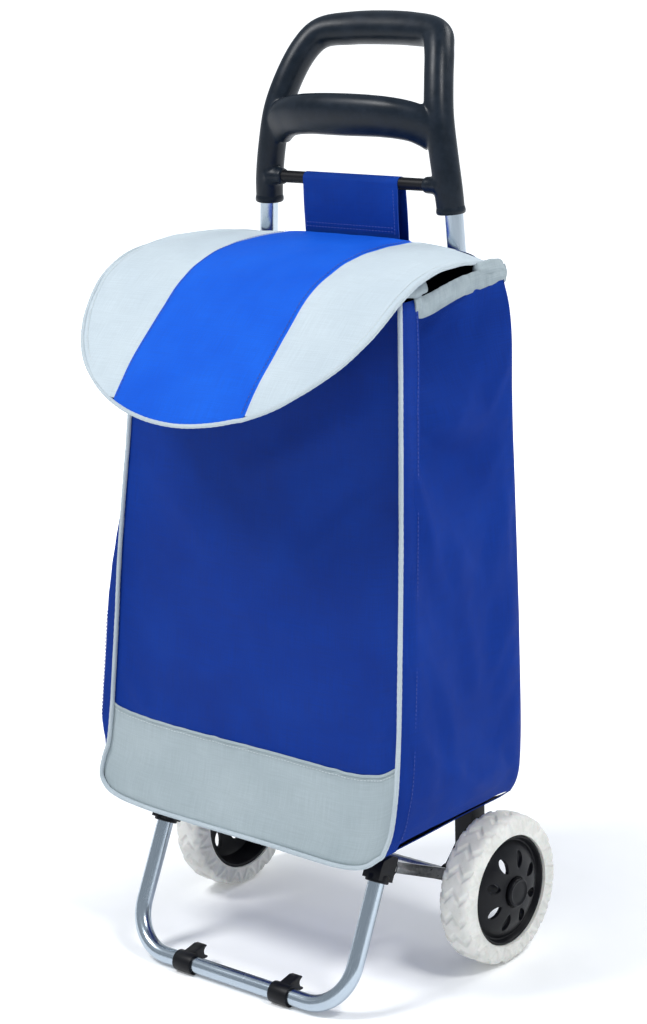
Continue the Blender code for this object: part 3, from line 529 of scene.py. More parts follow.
def turned(name, profile, mat, y, z, sides=96, closed=True, smooth_angle=35.0, relief=None):
    """Turn (x, radius) points about a line along X."""
    profile = np.asarray(profile, float)
    count = len(profile)
    vertices, surface = [], []
    around = lengths_along(profile)
    for j in range(sides):
        a = math.tau * j / sides
        for i, (x, radius) in enumerate(profile):
            push = (0.0, 0.0) if relief is None else relief(i, a)
            r = radius + push[1]
            vertices.append((x + push[0], y + r * math.cos(a), z + r * math.sin(a)))
            surface.append((around[i], 0.05 * math.sin(a) * 2))
    faces = []
    steps = count if closed else count - 1
    for j in range(sides):
        k = (j + 1) % sides
        for i in range(steps):
            n = (i + 1) % count
            faces.append((j * count + i, k * count + i, k * count + n, j * count + n))
    piece = mesh_object(name, vertices, faces, mat, surface, smooth_angle)
    bm = bmesh.new()
    bm.from_mesh(piece.data)
    bmesh.ops.remove_doubles(bm, verts=bm.verts, dist=1e-6)
    bmesh.ops.recalc_face_normals(bm, faces=bm.faces)
    bm.to_mesh(piece.data)
    bm.free()
    piece.data.shade_smooth()
    piece.data.set_sharp_from_angle(angle=math.radians(smooth_angle))
    return piece


def softened(node, mat, body, bevel=0.0008, segments=3):
    """A CAD node's shape with its edges rounded as moulded or worn parts have them."""
    source = frame["nodes"][node]
    mesh = source.data.copy()
    piece = bpy.data.objects.new(node + "_visual", mesh)
    bpy.context.scene.collection.objects.link(piece)
    bm = bmesh.new()
    bm.from_mesh(mesh)
    bmesh.ops.remove_doubles(bm, verts=bm.verts, dist=1e-6)
    bmesh.ops.dissolve_limit(bm, angle_limit=math.radians(1.5), verts=bm.verts, edges=bm.edges)
    bm.to_mesh(mesh)
    bm.free()
    mesh.materials.clear()
    mesh.materials.append(mat)
    edge = piece.modifiers.new("edges", "BEVEL")
    edge.width = bevel
    edge.segments = segments
    edge.limit_method = "ANGLE"
    edge.angle_limit = math.radians(40)
    edge.use_clamp_overlap = True
    settle(piece, 35.0)
    give_place_as_surface(piece)
    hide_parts(node)
    return belongs(piece, body)


def belongs(piece, body):
    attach(piece, body)
    return piece


def smoothstep(edge0, edge1, x):
    t = np.clip((np.asarray(x, float) - edge0) / (edge1 - edge0), 0.0, 1.0)
    return t * t * (3 - 2 * t)


def wander(x, y, scale, seed):
    """Smooth noise between about -1 and 1."""
    return noise.noise(Vector((x * scale, y * scale, seed * 7.31)))


def stitch_row(name, path, normals, mat, body, pitch=0.0042, length=0.0030, radius=0.00035, squash=None):
    """A row of sewing stitches lying on cloth along a path."""
    path = np.asarray(path, float)
    normals = np.asarray(normals, float)
    along = lengths_along(path)
    vertices, faces, surface = [], [], []
    sides = 6
    count = int(along[-1] / pitch)
    for k in range(count):
        centre = (k + 0.5) * pitch
        ring_centres = (-0.5, -0.32, 0.32, 0.5)
        ring_sizes = (0.25, 1.0, 1.0, 0.25)
        start = len(vertices)
        spots = [np.array([np.interp(centre + c * length, along, path[:, n]) for n in range(3)]) for c in ring_centres]
        normal = Vector([np.interp(centre, along, normals[:, n]) for n in range(3)]).normalized()
        direction = Vector(spots[-1] - spots[0]).normalized()
        across = direction.cross(normal).normalized()
        for spot, size, dip in zip(spots, ring_sizes, (-0.6, 0.5, 0.5, -0.6)):
            for s in range(sides):
                a = math.tau * s / sides
                offset = across * (math.cos(a) * radius * size) + normal * (math.sin(a) * radius * size + dip * radius)
                vertices.append(Vector(spot) + offset)
                surface.append((a * radius, centre))
        faces += grid_faces(4, sides, start, wrap=True)
        faces.append(tuple(range(start, start + sides))[::-1])
        faces.append(tuple(range(start + 3 * sides, start + 4 * sides)))
    piece = mesh_object(name, vertices, faces, mat, surface, 60.0)
    fix_normals(piece)
    belongs(piece, body)
    if squash:
        squash(piece)
    return piece


# ---------------------------------------------------------------- tubes and small metal parts
def build_main_tubes():
    for side_name, side in SIDES:
        node = "main_tube_" + side_name
        bottom, top = low(node), high(node)
        radius = (top.x - bottom.x - 0.0055) / 2
        outer = max(abs(bottom.x), abs(top.x)) - radius
        run = top.y - bottom.y - 2 * radius
        path = []
        for z in np.linspace(bottom.z, top.z, 70):
            share = (z - bottom.z) / (top.z - bottom.z)
            drawn_in = 0.0055 * max(0.0, (z - 0.715) / (top.z - 0.715)) ** 1.1
            path.append((side * (outer - drawn_in), bottom.y + radius + run * share, z))
        tube = swept(node + "_visual", path, radius, (0, -1, 0), STEEL, 48)
        hollow(tube, 0.0012)
        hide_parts(node)
        belongs(tube, "frame")


STAND_LEAN = math.radians(27.4)          # of the stand's legs, from upright
UP_LEG = np.array((0.0, math.sin(STAND_LEAN), math.cos(STAND_LEAN)))
FOOT = np.array((0.0, -0.1490, 0.0105))  # middle of the stand's foot bar
STAND_X = 0.1473


def build_stand_tube():
    up_leg, foot = UP_LEG, FOOT
    half_width, bend, leg = STAND_X, 0.049, 0.150
    path = []
    for side in (-1, 1):
        edge = np.array((side * half_width, 0.0, 0.0))
        half = [foot + edge + up_leg * length for length in np.linspace(leg, bend + 0.006, 14)]
        corner = foot + np.array((side * (half_width - bend), 0.0, 0.0)) + up_leg * bend
        for a in np.radians(np.linspace(0, 90, 22)):
            half.append(corner + np.array((side * bend * math.cos(a), 0.0, 0.0)) - up_leg * bend * math.sin(a))
        half += [foot + np.array((side * x, 0.0, 0.0)) for x in np.linspace(half_width - bend - 0.006, 0.004, 10)]
        path += half if side < 0 else half[::-1]
    tube = swept("stand_tube_visual", path, 0.00875, (0, -1, 0.5), STEEL, 48)
    hollow(tube, 0.0012)
    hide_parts("stand_tube")
    belongs(tube, "stand")


def build_small_parts():
    for side_name, _ in SIDES:
        softened("rear_bracket_" + side_name, BLACK, "frame", 0.0014)
        softened("front_bracket_" + side_name, BLACK, "stand", 0.0016)
        softened("foot_clip_" + side_name, BLACK, "stand", 0.0009)
        softened("side_bar_" + side_name, ZINC, "base", 0.0005)
        softened("axle_washer_" + side_name, ZINC, "frame", 0.0003)
        build_round_heads(side_name)
        build_bracket_ring(side_name)
    axle = frame["nodes"]["axle"]
    axle.data.materials.clear()
    axle.data.materials.append(ZINC)


def dome(name, at, direction, radius, height, mat, shank=0.0, slot_depth=0.0):
    """A domed rivet or screw head, with a cross recess where a depth is given."""
    profile = [(-shank, 0.0), (-shank, radius * 0.5), (0.0, radius * 0.5), (0.0, radius)]
    for a in np.radians(np.linspace(8, 90, 9)):
        profile.append((height * math.sin(a), radius * math.cos(a)))
    piece = turned(name, profile, mat, 0.0, 0.0, 40, closed=False, smooth_angle=50.0)
    if slot_depth:
        for turn in (0, 90):
            bm = bmesh.new()
            bmesh.ops.create_cube(bm, size=1.0)
            size = Matrix.Diagonal((slot_depth * 2, radius * 1.1, radius * 0.28, 1.0))
            bm.transform(Matrix.Translation((height, 0, 0)) @ Matrix.Rotation(math.radians(turn), 4, "X") @ size)
            mesh = bpy.data.meshes.new("recess")
            bm.to_mesh(mesh)
            bm.free()
            cutter = bpy.data.objects.new("recess", mesh)
            bpy.context.scene.collection.objects.link(cutter)
            cut = piece.modifiers.new("recess", "BOOLEAN")
            cut.object = cutter
            cut.solver = "EXACT"
            settle(piece, 35.0)
            bpy.data.objects.remove(cutter)
    turn = Vector(direction).to_track_quat("X", "Z").to_matrix().to_4x4()
    piece.data.transform(Matrix.Translation(at) @ turn)
    give_place_as_surface(piece)
    return piece


def build_round_heads(side_name):
    side = dict(SIDES)[side_name]
    screw = middle("handle_screw_" + side_name)
    back = high("handle_screw_" + side_name).y
    head = dome("handle_screw_visual_" + side_name, (screw.x, back - 0.0018, screw.z), (0, 1, 0), 0.0036, 0.0018,
                ZINC, 0.0022, 0.0008)
    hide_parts("handle_screw_" + side_name)
    belongs(head, "frame")
    rivet = middle("bracket_rivet_" + side_name)
    back = high("bracket_rivet_" + side_name).y
    head = dome("bracket_rivet_visual_" + side_name, (rivet.x, back - 0.0016, rivet.z), (0, 1, 0), 0.0044, 0.0016,
                ZINC, 0.0020)
    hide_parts("bracket_rivet_" + side_name)
    belongs(head, "frame")
    first, last = low("stand_rivet_" + side_name), high("stand_rivet_" + side_name)
    outer_x, inner_x = (last.x, first.x) if side > 0 else (first.x, last.x)
    length = abs(outer_x - inner_x) - 0.004
    outer = dome("stand_rivet_visual_" + side_name, (outer_x - side * 0.0022, STAND_PIVOT.y, STAND_PIVOT.z),
                 (side, 0, 0), 0.0055, 0.0022, ZINC, length)
    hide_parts("stand_rivet_" + side_name)
    belongs(outer, "stand")
    inner = dome("stand_rivet_tail_" + side_name, (inner_x + side * 0.0018, STAND_PIVOT.y, STAND_PIVOT.z),
                 (-side, 0, 0), 0.0048, 0.0016, ZINC)
    belongs(inner, "stand")


def build_bracket_ring(side_name):
    """Raised ring round the mouth of a front bracket, where the leg goes in."""
    side = dict(SIDES)[side_name]
    mouth = FOOT + np.array((side * STAND_X, 0.0, 0.0)) + UP_LEG * 0.1375
    path = [mouth + UP_LEG * d for d in (-0.0028, -0.0020, 0.0046, 0.0060)]
    ring = swept("front_bracket_ring_" + side_name, path, [(s, s) for s in (0.0112, 0.0122, 0.0122, 0.0112)],
                 (0, -1, 0.5), BLACK, 48)
    belongs(ring, "stand")


# ---------------------------------------------------------------- wheels
TREAD_LUGS = 20


def tyre_profile(side):
    """(x, radius) round the tyre's section, from its inner seat over the tread and back."""
    first, last = low("tyre_" + ("right" if side > 0 else "left")), high("tyre_" + ("right" if side > 0 else "left"))
    centre, half = (first.x + last.x) / 2, (last.x - first.x) / 2
    radius = (last.z - first.z) / 2
    seat = high("hub_right").z - AXLE.z + 0.0003
    shape = [(-half + 0.003, seat), (half - 0.003, seat), (half - 0.0008, seat + 0.0012), (half, seat + 0.0045),
             (half, radius - 0.0085), (half - 0.0010, radius - 0.0045), (half - 0.0038, radius - 0.0018),
             (half - 0.0085, radius - 0.0006), (0.0, radius - 0.0002), (-half + 0.0085, radius - 0.0006),
             (-half + 0.0038, radius - 0.0018), (-half + 0.0010, radius - 0.0045), (-half, radius - 0.0085),
             (-half, seat + 0.0045), (-half + 0.0008, seat + 0.0012)]
    dense = catmull(np.array([(x, r, 0.0) for x, r in shape]), 110, closed=True)
    return [(centre + side * x, r) for x, r, _ in dense], centre


def tyre_relief(profile, centre, side):
    """Raised chevrons on the shoulders and lugs across the tread, moulded inside the tyre's own size."""
    half = max(abs(x - centre) for x, _ in profile)
    radius = max(r for _, r in profile)

    def relief(i, angle):
        x, r = profile[i]
        outward = (x - centre) * side / half
        phase = angle * TREAD_LUGS / math.tau
        shoulder = smoothstep(radius - 0.0200, radius - 0.0175, r) * smoothstep(0.55, 0.80, abs(outward))
        reach = (r - (radius - 0.0125)) / 0.0125
        cell = (phase + (0.5 if outward < 0 else 0.0)) % 1.0
        arm = abs(abs(cell - 0.5) - (0.12 + 0.26 * max(0.0, min(1.0, reach + 0.45))))
        chevron = 1.0 - float(smoothstep(0.07, 0.13, arm))
        stem = (1.0 - float(smoothstep(0.05, 0.10, abs(cell - 0.5)))) * float(smoothstep(0.25, 0.0, reach + 0.35))
        block = 1.0 - float(smoothstep(0.10, 0.16, abs(cell - 0.5)))
        block *= float(smoothstep(0.15, 0.4, reach))
        mark = max(chevron, stem, block)
        sidewall = -0.0011 * float(shoulder) * (1.0 - mark)
        tread = float(smoothstep(radius - 0.0060, radius - 0.0020, r))
        across = (x - centre) / half
        zigzag = (phase + 0.25 * abs((across * 2.0) % 2.0 - 1.0) * 1.6) % 1.0
        groove = 1.0 - float(smoothstep(0.10, 0.20, abs(zigzag - 0.5)))
        scallop = 0.5 - 0.5 * math.cos(phase * math.tau + math.pi)
        drop = tread * (-0.0018 * groove - 0.0007 * scallop)
        return side * math.copysign(1, outward) * sidewall * (1 - tread), drop + sidewall * 0.3

    return relief


def build_tyres():
    for side_name, side in SIDES:
        profile, centre = tyre_profile(side)
        tyre = turned("tyre_visual_" + side_name, profile, FOAM, AXLE.y, AXLE.z, 400, smooth_angle=60.0,
                      relief=tyre_relief(profile, centre, side))
        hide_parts("tyre_" + side_name)
        belongs(tyre, "wheel_" + side_name)


def hub_section(rim):
    """(x, radius) of the moulded hub's closed section: boss, web domed outwards and rim with a rolled lip."""
    return [(0.1590, 0.0054), (0.1590, 0.0110), (0.1600, 0.0120), (0.1990, 0.0125), (0.2030, 0.0150),
            (0.2045, 0.0185), (0.2042, 0.0230), (0.2034, 0.0275), (0.2020, 0.0335), (0.2002, 0.0385),
            (0.1965, 0.0460), (0.1930, 0.0505), (0.1850, 0.0525), (0.1720, 0.0545), (0.1700, 0.0552),
            (0.1700, rim), (0.2010, rim), (0.2021, rim - 0.0006), (0.2026, rim - 0.0016), (0.2022, rim - 0.0026),
            (0.2010, rim - 0.0033), (0.1990, rim - 0.0040), (0.1972, 0.0532), (0.1968, 0.0520), (0.1974, 0.0508),
            (0.1992, 0.0488), (0.2013, 0.0460), (0.2036, 0.0415), (0.2054, 0.0370), (0.2067, 0.0320),
            (0.2076, 0.0270), (0.2082, 0.0220), (0.2084, 0.0190), (0.2088, 0.0178), (0.2090, 0.0170),
            (0.2084, 0.0163), (0.2080, 0.0150), (0.2080, 0.0054)]


def leaf_cutter(side):
    """Eight leaf-shaped openings round the web, rounded outside and pointed towards the boss."""
    bm = bmesh.new()
    for i in range(8):
        turn = math.tau * (i + 0.5) / 8
        outline = []
        for n in range(36):
            a = math.tau * n / 36
            along = 0.0335 + 0.0092 * math.cos(a)
            across = 0.0052 * math.sin(a) * (1.0 + 0.25 * math.cos(a)) * abs(math.sin(a)) ** 0.25
            outline.append((AXLE.y + along * math.cos(turn) - across * math.sin(turn),
                            AXLE.z + along * math.sin(turn) + across * math.cos(turn)))
        face = bm.faces.new([bm.verts.new((side * 0.190, y, z)) for y, z in outline])
        grown = bmesh.ops.extrude_face_region(bm, geom=[face])
        moved = [item for item in grown["geom"] if isinstance(item, bmesh.types.BMVert)]
        bmesh.ops.translate(bm, verts=moved, vec=(side * 0.024, 0.0, 0.0))
    bmesh.ops.recalc_face_normals(bm, faces=bm.faces)
    mesh = bpy.data.meshes.new("leaves")
    bm.to_mesh(mesh)
    bm.free()
    cutter = bpy.data.objects.new("leaves", mesh)
    bpy.context.scene.collection.objects.link(cutter)
    return cutter


def build_hubs():
    rim = high("hub_right").z - AXLE.z
    for side_name, side in SIDES:
        profile = [(side * x, r) for x, r in hub_section(rim)]
        hub = turned("hub_visual_" + side_name, profile, BLACK, AXLE.y, AXLE.z, 128, smooth_angle=28.0)
        cutter = leaf_cutter(side)
        cut = hub.modifiers.new("leaves", "BOOLEAN")
        cut.object = cutter
        cut.solver = "EXACT"
        edge = hub.modifiers.new("edges", "BEVEL")
        edge.width = 0.0006
        edge.segments = 2
        edge.limit_method = "ANGLE"
        edge.angle_limit = math.radians(55)
        settle(hub, 35.0)
        bpy.data.objects.remove(cutter)
        give_place_as_surface(hub)
        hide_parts("hub_" + side_name)
        belongs(hub, "wheel_" + side_name)
        build_axle_cap(side_name, side)


def build_axle_cap(side_name, side):
    """Push-on cap with a raised rim and a flat, slightly sunk face."""
    end = abs(high("axle_cap_right").x)
    section = [(0.2092, 0.0), (0.2092, 0.0146), (0.2100, 0.0152), (end - 0.0026, 0.0151), (end - 0.0010, 0.0147),
               (end - 0.0004, 0.0140), (end - 0.0002, 0.0132), (end - 0.0006, 0.0125), (end - 0.0014, 0.0118),
               (end - 0.0015, 0.0100), (end - 0.0010, 0.0060), (end - 0.0009, 0.0)]
    cap = turned("axle_cap_visual_" + side_name, [(side * x, r) for x, r in section], BLACK, AXLE.y, AXLE.z, 72,
                 closed=False, smooth_angle=50.0)
    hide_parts("axle_cap_" + side_name)
    belongs(cap, "frame")


# ---------------------------------------------------------------- handle
HANDLE_LINE = ((0.1218, 0.1140, 0.7735), (0.1195, 0.1138, 0.8000), (0.1140, 0.1155, 0.8350),
               (0.1072, 0.1200, 0.8700), (0.0990, 0.1325, 0.9030), (0.0890, 0.1480, 0.9300),
               (0.0750, 0.1615, 0.9450), (0.0400, 0.1675, 0.9490), (0.0000, 0.1685, 0.9500))
HANDLE_LINE_HALF = ((0.0140, 0.0140), (0.0143, 0.0143), (0.0144, 0.0145), (0.0146, 0.0150), (0.0144, 0.0150),
                    (0.0148, 0.0152), (0.0160, 0.0158), (0.0171, 0.0161), (0.0174, 0.0162))
LOWER_BAR_LINE = ((0.1060, 0.1165, 0.8490), (0.0960, 0.1125, 0.8570), (0.0800, 0.1075, 0.8640),
                  (0.0500, 0.1010, 0.8685), (0.0000, 0.0985, 0.8695))
LOWER_BAR_HALF = ((0.0190, 0.0118), (0.0200, 0.0128), (0.0205, 0.0138), (0.0212, 0.0143), (0.0220, 0.0148))


def mirrored(line, sizes):
    """Points and sizes of a whole bar from its right half, from left to right."""
    right = [tuple(p) + tuple(s) for p, s in zip(line, sizes)]
    left = [(-p[0],) + p[1:] for p in right]
    return np.array(left + right[-2::-1])


def build_handle():
    loop = catmull(mirrored(HANDLE_LINE, HANDLE_LINE_HALF), 150)
    whole = swept("handle_visual", loop[:, :3], loop[:, 3:], (0, 1, 0), HANDLE, 40, power=2.15)
    bar = catmull(mirrored(LOWER_BAR_LINE, LOWER_BAR_HALF), 90)
    parts = [swept("bar_shape", bar[:, :3], bar[:, 3:], (0, 1, 0), HANDLE, 40, power=2.2)]
    for side_name, side in SIDES:
        rail = middle("strap_rail")
        inner = [(side * x, rail.y, rail.z) for x in (0.0945, 0.0955, 0.1030, 0.1080, 0.1140)]
        sizes = [(r, r) for r in (0.0080, 0.0087, 0.0088, 0.0096, 0.0112)]
        parts.append(swept("boss_shape", inner, sizes, (0, 0, 1), HANDLE, 32))
    joined = bmesh.new()
    for part in [whole] + parts:
        joined.from_mesh(part.data)
    joined.to_mesh(whole.data)
    joined.free()
    for part in parts:
        bpy.data.objects.remove(part)
    melt = whole.modifiers.new("melt", "REMESH")
    melt.mode = "VOXEL"
    melt.voxel_size = 0.0013
    even = whole.modifiers.new("even", "SMOOTH")
    even.factor = 0.5
    even.iterations = 14
    settle(whole, 180.0)
    give_place_as_surface(whole)
    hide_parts("handle")
    belongs(whole, "frame")
    for side_name, side in SIDES:
        build_socket_lip(side_name, side)


def build_socket_lip(side_name, side):
    """Rolled lip at the mouth of a handle socket."""
    mouth = low("handle").z
    x, y = 0.1218, 0.1140
    path = [(side * (x - (z - mouth) * 0.05), y, z) for z in
            (mouth, mouth + 0.0008, mouth + 0.0030, mouth + 0.0052, mouth + 0.0075)]
    halves = [(r, r) for r in (0.0136, 0.0147, 0.0151, 0.0148, 0.0142)]
    lip = swept("handle_socket_lip_" + side_name, path, halves, (0, -1, 0), HANDLE, 64, smooth_angle=70.0)
    belongs(lip, "frame")


def build_rail():
    centre, radius = middle("strap_rail"), (high("strap_rail").z - low("strap_rail").z) / 2
    end = high("strap_rail").x
    path = [(x, centre.y, centre.z) for x in np.linspace(-end, end, 40)]
    rail = swept("strap_rail_visual", path, radius, (0, 0, 1), BLACK, 48)
    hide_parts("strap_rail")
    belongs(rail, "frame")


# ---------------------------------------------------------------- bag
ROWS = 84            # rows of cloth cells up the bag
FRONT_COLUMNS = 56
SIDE_COLUMNS = 32
SEAM_ROW = 16        # top of the pale lower panel
FRONT_TOP_Z = high("bag_front_panel").z
BACK_TOP_Z = LID_HINGE.z - 0.002
LEAN = (low("bag_front_panel").z, low("bag_lower_front_panel").y, high("bag_front_panel").z)


def front_y(z):
    """The bag's leaning front at a height."""
    base, top = low("bag_lower_front_panel"), high("bag_front_panel")
    bottom_y = base.y
    top_y = bottom_y + 0.0738
    return bottom_y + (top_y - bottom_y) * (z - base.z) / (top.z - base.z)


def back_edge_y(z):
    return 0.092 + 0.023 * (z - 0.20)


# Outline of the front, seen from the front, as (x, z): up each edge, and along the bottom.
FRONT_RIGHT = ((0.1790, 0.1729), (0.1885, 0.1972), (0.1928, 0.2303), (0.1940, 0.2560), (0.1940, 0.3130),
               (0.1892, 0.4680), (0.1828, 0.6030), (0.1765, 0.7150))
FRONT_LEFT = ((-0.2085, 0.1670), (-0.2145, 0.1745), (-0.2155, 0.1846), (-0.2112, 0.2010), (-0.2056, 0.2164),
              (-0.2020, 0.2502), (-0.2000, 0.2833), (-0.1969, 0.3490), (-0.1946, 0.4140), (-0.1902, 0.4786),
              (-0.1848, 0.5427), (-0.1800, 0.6200), (-0.1765, 0.7150))
FRONT_BOTTOM = ((-0.2085, 0.1670), (-0.2000, 0.1618), (-0.1800, 0.1573), (-0.1450, 0.1545), (-0.1100, 0.1536),
                (-0.0554, 0.1530), (0.0205, 0.1524), (0.0804, 0.1511), (0.1228, 0.1509), (0.1560, 0.1570),
                (0.1790, 0.1729))
BACK_RIGHT = ((0.1900, 0.1763), (0.2000, 0.1930), (0.2045, 0.2150), (0.2062, 0.2780), (0.2065, 0.3850),
              (0.2060, 0.5720), (0.2060, 0.6200), (0.2080, 0.6600), (0.2060, 0.6900), (0.1995, 0.7100),
              (0.1930, 0.7180))


def edge_curve(points, depth, count, warp=1.0):
    """An outline's (x, z) points as a line of 3-D points, spaced evenly in height."""
    dense = catmull(np.array([(x, z, 0.0) for x, z in points]), 400)
    z = points[0][1] + (points[-1][1] - points[0][1]) * np.linspace(0, 1, count) ** warp
    order = np.argsort(dense[:, 1])
    x = np.interp(z, dense[order, 1], dense[order, 0])
    return np.array([(a, depth(b), b) for a, b in zip(x, z)])


def spaced_curve(points, count):
    return catmull(np.array(points, float), count)


def coons(bottom, top, left, right):
    """A patch of points between four edge lines."""
    u = np.linspace(0, 1, len(bottom))[None, :, None]
    v = np.linspace(0, 1, len(left))[:, None, None]
    ruled = (1 - v) * bottom[None] + v * top[None] + (1 - u) * left[:, None] + u * right[:, None]
    corners = (1 - u) * (1 - v) * bottom[0] + u * (1 - v) * bottom[-1] + (1 - u) * v * top[0] + u * v * top[-1]
    return ruled - corners


def mirror_x(points):
    return points * np.array((-1.0, 1.0, 1.0))


def bag_edges():
    warp = 1.068
    edges = {}
    edges["front_right"] = edge_curve(FRONT_RIGHT, front_y, ROWS + 1, warp)
    edges["front_left"] = edge_curve(FRONT_LEFT, front_y, ROWS + 1, warp)
    edges["back_right"] = edge_curve(BACK_RIGHT, back_edge_y, ROWS + 1, warp)
    edges["back_left"] = mirror_x(edges["back_right"])
    edges["front_bottom"] = spaced_curve([(x, front_y(z), z) for x, z in FRONT_BOTTOM], FRONT_COLUMNS + 1)
    edges["front_top"] = np.linspace(edges["front_left"][-1], edges["front_right"][-1], FRONT_COLUMNS + 1)
    corner, top = edges["back_right"][0], edges["back_right"][-1]
    half = [corner, (0.172, 0.0850, 0.1690), (0.150, 0.0795, 0.1660), (0.08, 0.0785, 0.1655), (0.0, 0.0785, 0.1655)]
    edges["back_bottom"] = spaced_curve([(-x, y, z) for x, y, z in half] + half[-2::-1], FRONT_COLUMNS + 1)
    half = [top, (0.172, 0.0995, 0.7300), (0.150, 0.0962, BACK_TOP_Z - 0.004), (0.08, 0.0955, BACK_TOP_Z),
            (0.0, 0.0955, BACK_TOP_Z)]
    edges["back_top"] = spaced_curve([(-x, y, z) for x, y, z in half] + half[-2::-1], FRONT_COLUMNS + 1)
    for side_name, side in SIDES:
        first, last = edges["front_" + side_name], edges["back_" + side_name]
        low_line = [first[0], (side * 0.1850, -0.0900, 0.1775), (side * 0.1875, -0.040, 0.1785),
                    (side * 0.1880, 0.030, 0.1785), last[0]]
        high_line = [first[-1], (side * 0.1750, -0.0140, 0.7060), (side * 0.1710, 0.0060, 0.7020),
                     (side * 0.1755, 0.0500, 0.7110), (side * 0.1860, 0.0860, 0.7165), last[-1]]
        edges["side_bottom_" + side_name] = spaced_curve(low_line, SIDE_COLUMNS + 1)
        edges["side_top_" + side_name] = spaced_curve(high_line, SIDE_COLUMNS + 1)
    return edges


def crease(y, z, start, end, width, height):
    """Height of a soft fold that runs from start to end on a panel seen as (y, z)."""
    ay, az = start
    dy, dz = end[0] - ay, end[1] - az
    t = np.clip(((y - ay) * dy + (z - az) * dz) / (dy * dy + dz * dz), 0, 1)
    distance = np.hypot(y - (ay + t * dy), z - (az + t * dz))
    taper = np.sin(np.pi * (0.12 + 0.88 * t)) ** 0.7
    return height * np.exp(-(distance / width) ** 2) * np.abs(taper)


SIDE_FOLDS = (
    # start (y, z), end (y, z), half-width, height outwards
    ((0.000, 0.480), (0.022, 0.300), 0.012, 0.0048),
    ((0.050, 0.500), (0.046, 0.240), 0.011, -0.0045),
    ((0.076, 0.560), (0.080, 0.290), 0.008, 0.0045),
    ((-0.045, 0.420), (-0.018, 0.225), 0.011, 0.0042),
    ((-0.060, 0.265), (0.030, 0.200), 0.009, 0.0052),
    ((0.020, 0.270), (0.085, 0.205), 0.008, -0.0045),
    ((-0.085, 0.222), (-0.010, 0.196), 0.007, -0.0040),
)
# Buckled upper part of a side: corners of its flat facets as (y, z, millimetres outwards).
SIDE_FACETS = (
    (-0.016, 0.702, -3), (0.040, 0.709, -1), (0.100, 0.715, 0),
    (-0.014, 0.668, -17), (0.030, 0.672, -17), (0.072, 0.677, -10), (0.103, 0.681, 0),
    (-0.020, 0.625, -10), (0.020, 0.588, 5), (0.062, 0.634, 0), (0.096, 0.635, 1),
    (-0.028, 0.584, -8), (0.010, 0.558, -8), (0.050, 0.542, -5),
    (-0.033, 0.491, 4), (0.010, 0.512, -1), (0.052, 0.500, 0), (0.096, 0.560, 0),
    (-0.045, 0.440, -2), (0.030, 0.440, 2), (0.092, 0.440, 0), (-0.055, 0.350, 0), (0.030, 0.350, 0),
    (0.092, 0.350, 0), (-0.080, 0.740, 0), (0.140, 0.740, 0), (-0.140, 0.140, 0), (0.140, 0.140, 0),
)
FRONT_FOLDS = (
    # start (x, z), end (x, z), half-width, height outwards
    ((-0.150, 0.300), (0.020, 0.330), 0.014, 0.0024),
    ((0.170, 0.620), (-0.030, 0.520), 0.016, 0.0030),
    ((0.160, 0.560), (0.020, 0.440), 0.014, -0.0022),
    ((-0.160, 0.520), (-0.040, 0.430), 0.016, 0.0022),
    ((0.150, 0.290), (0.050, 0.275), 0.009, -0.0020),
    ((-0.060, 0.400), (0.110, 0.360), 0.014, 0.0020),
)


def shape_front(patch):
    x, z = patch[..., 0], patch[..., 2]
    half = np.abs(patch[:, -1:, 0])
    across = np.clip(np.abs(x) / half, 0, 1)
    body = (1 - across ** 2.6) * smoothstep(0.25, 0.34, z) * (1 - smoothstep(0.60, 0.715, z))
    out = 0.0048 * body + 0.0030 * (1 - across ** 4) * (1 - smoothstep(0.19, 0.26, z)) * smoothstep(0.150, 0.175, z)
    for start, end, width, height in FRONT_FOLDS:
        out += crease(x, z, start, end, width, height) * (1 - across ** 6)
    pucker = np.array([[wander(a * 2.2, b * 0.8, 30.0, 3) for a, b in zip(r, s)] for r, s in zip(x, z)])
    soft = np.array([[wander(a, b, 13.0, 5) for a, b in zip(r, s)] for r, s in zip(x, z)])
    lower = (1 - smoothstep(0.235, 0.262, z)) * smoothstep(0.152, 0.17, z)
    out += (0.0024 * pucker * lower + 0.0018 * soft) * (1 - across ** 8)
    out -= 0.0016 * np.exp(-((z - patch[SEAM_ROW, :, 2][None, :]) / 0.006) ** 2) * (1 - across ** 8)
    patch[..., 1] -= out


def facet_depth(y, z, corners):
    """Depth in metres of a sheet folded into flat facets between corner points."""
    flat = [Vector(corner[:2]) for corner in corners]
    _, _, triangles, origins, _, _ = geometry.delaunay_2d_cdt(flat, [], [], 0, 1e-7)
    depth = np.zeros_like(y)
    for triangle in triangles:
        (ay, az, ad), (by, bz, bd), (cy, cz, cd) = [corners[origins[i][0]] for i in triangle]
        area = (by - ay) * (cz - az) - (cy - ay) * (bz - az)
        b = ((y - ay) * (cz - az) - (cy - ay) * (z - az)) / area
        c = ((by - ay) * (z - az) - (y - ay) * (bz - az)) / area
        inside = (b >= -1e-9) & (c >= -1e-9) & (b + c <= 1 + 1e-9)
        depth[inside] = ((1 - b - c) * ad + b * bd + c * cd)[inside]
    for _ in range(2):
        padded = np.pad(depth, 1, mode="edge")
        around = padded[:-2, 1:-1] + padded[2:, 1:-1] + padded[1:-1, :-2] + padded[1:-1, 2:]
        depth = depth * 0.5 + around * 0.125
    return depth * 0.0019


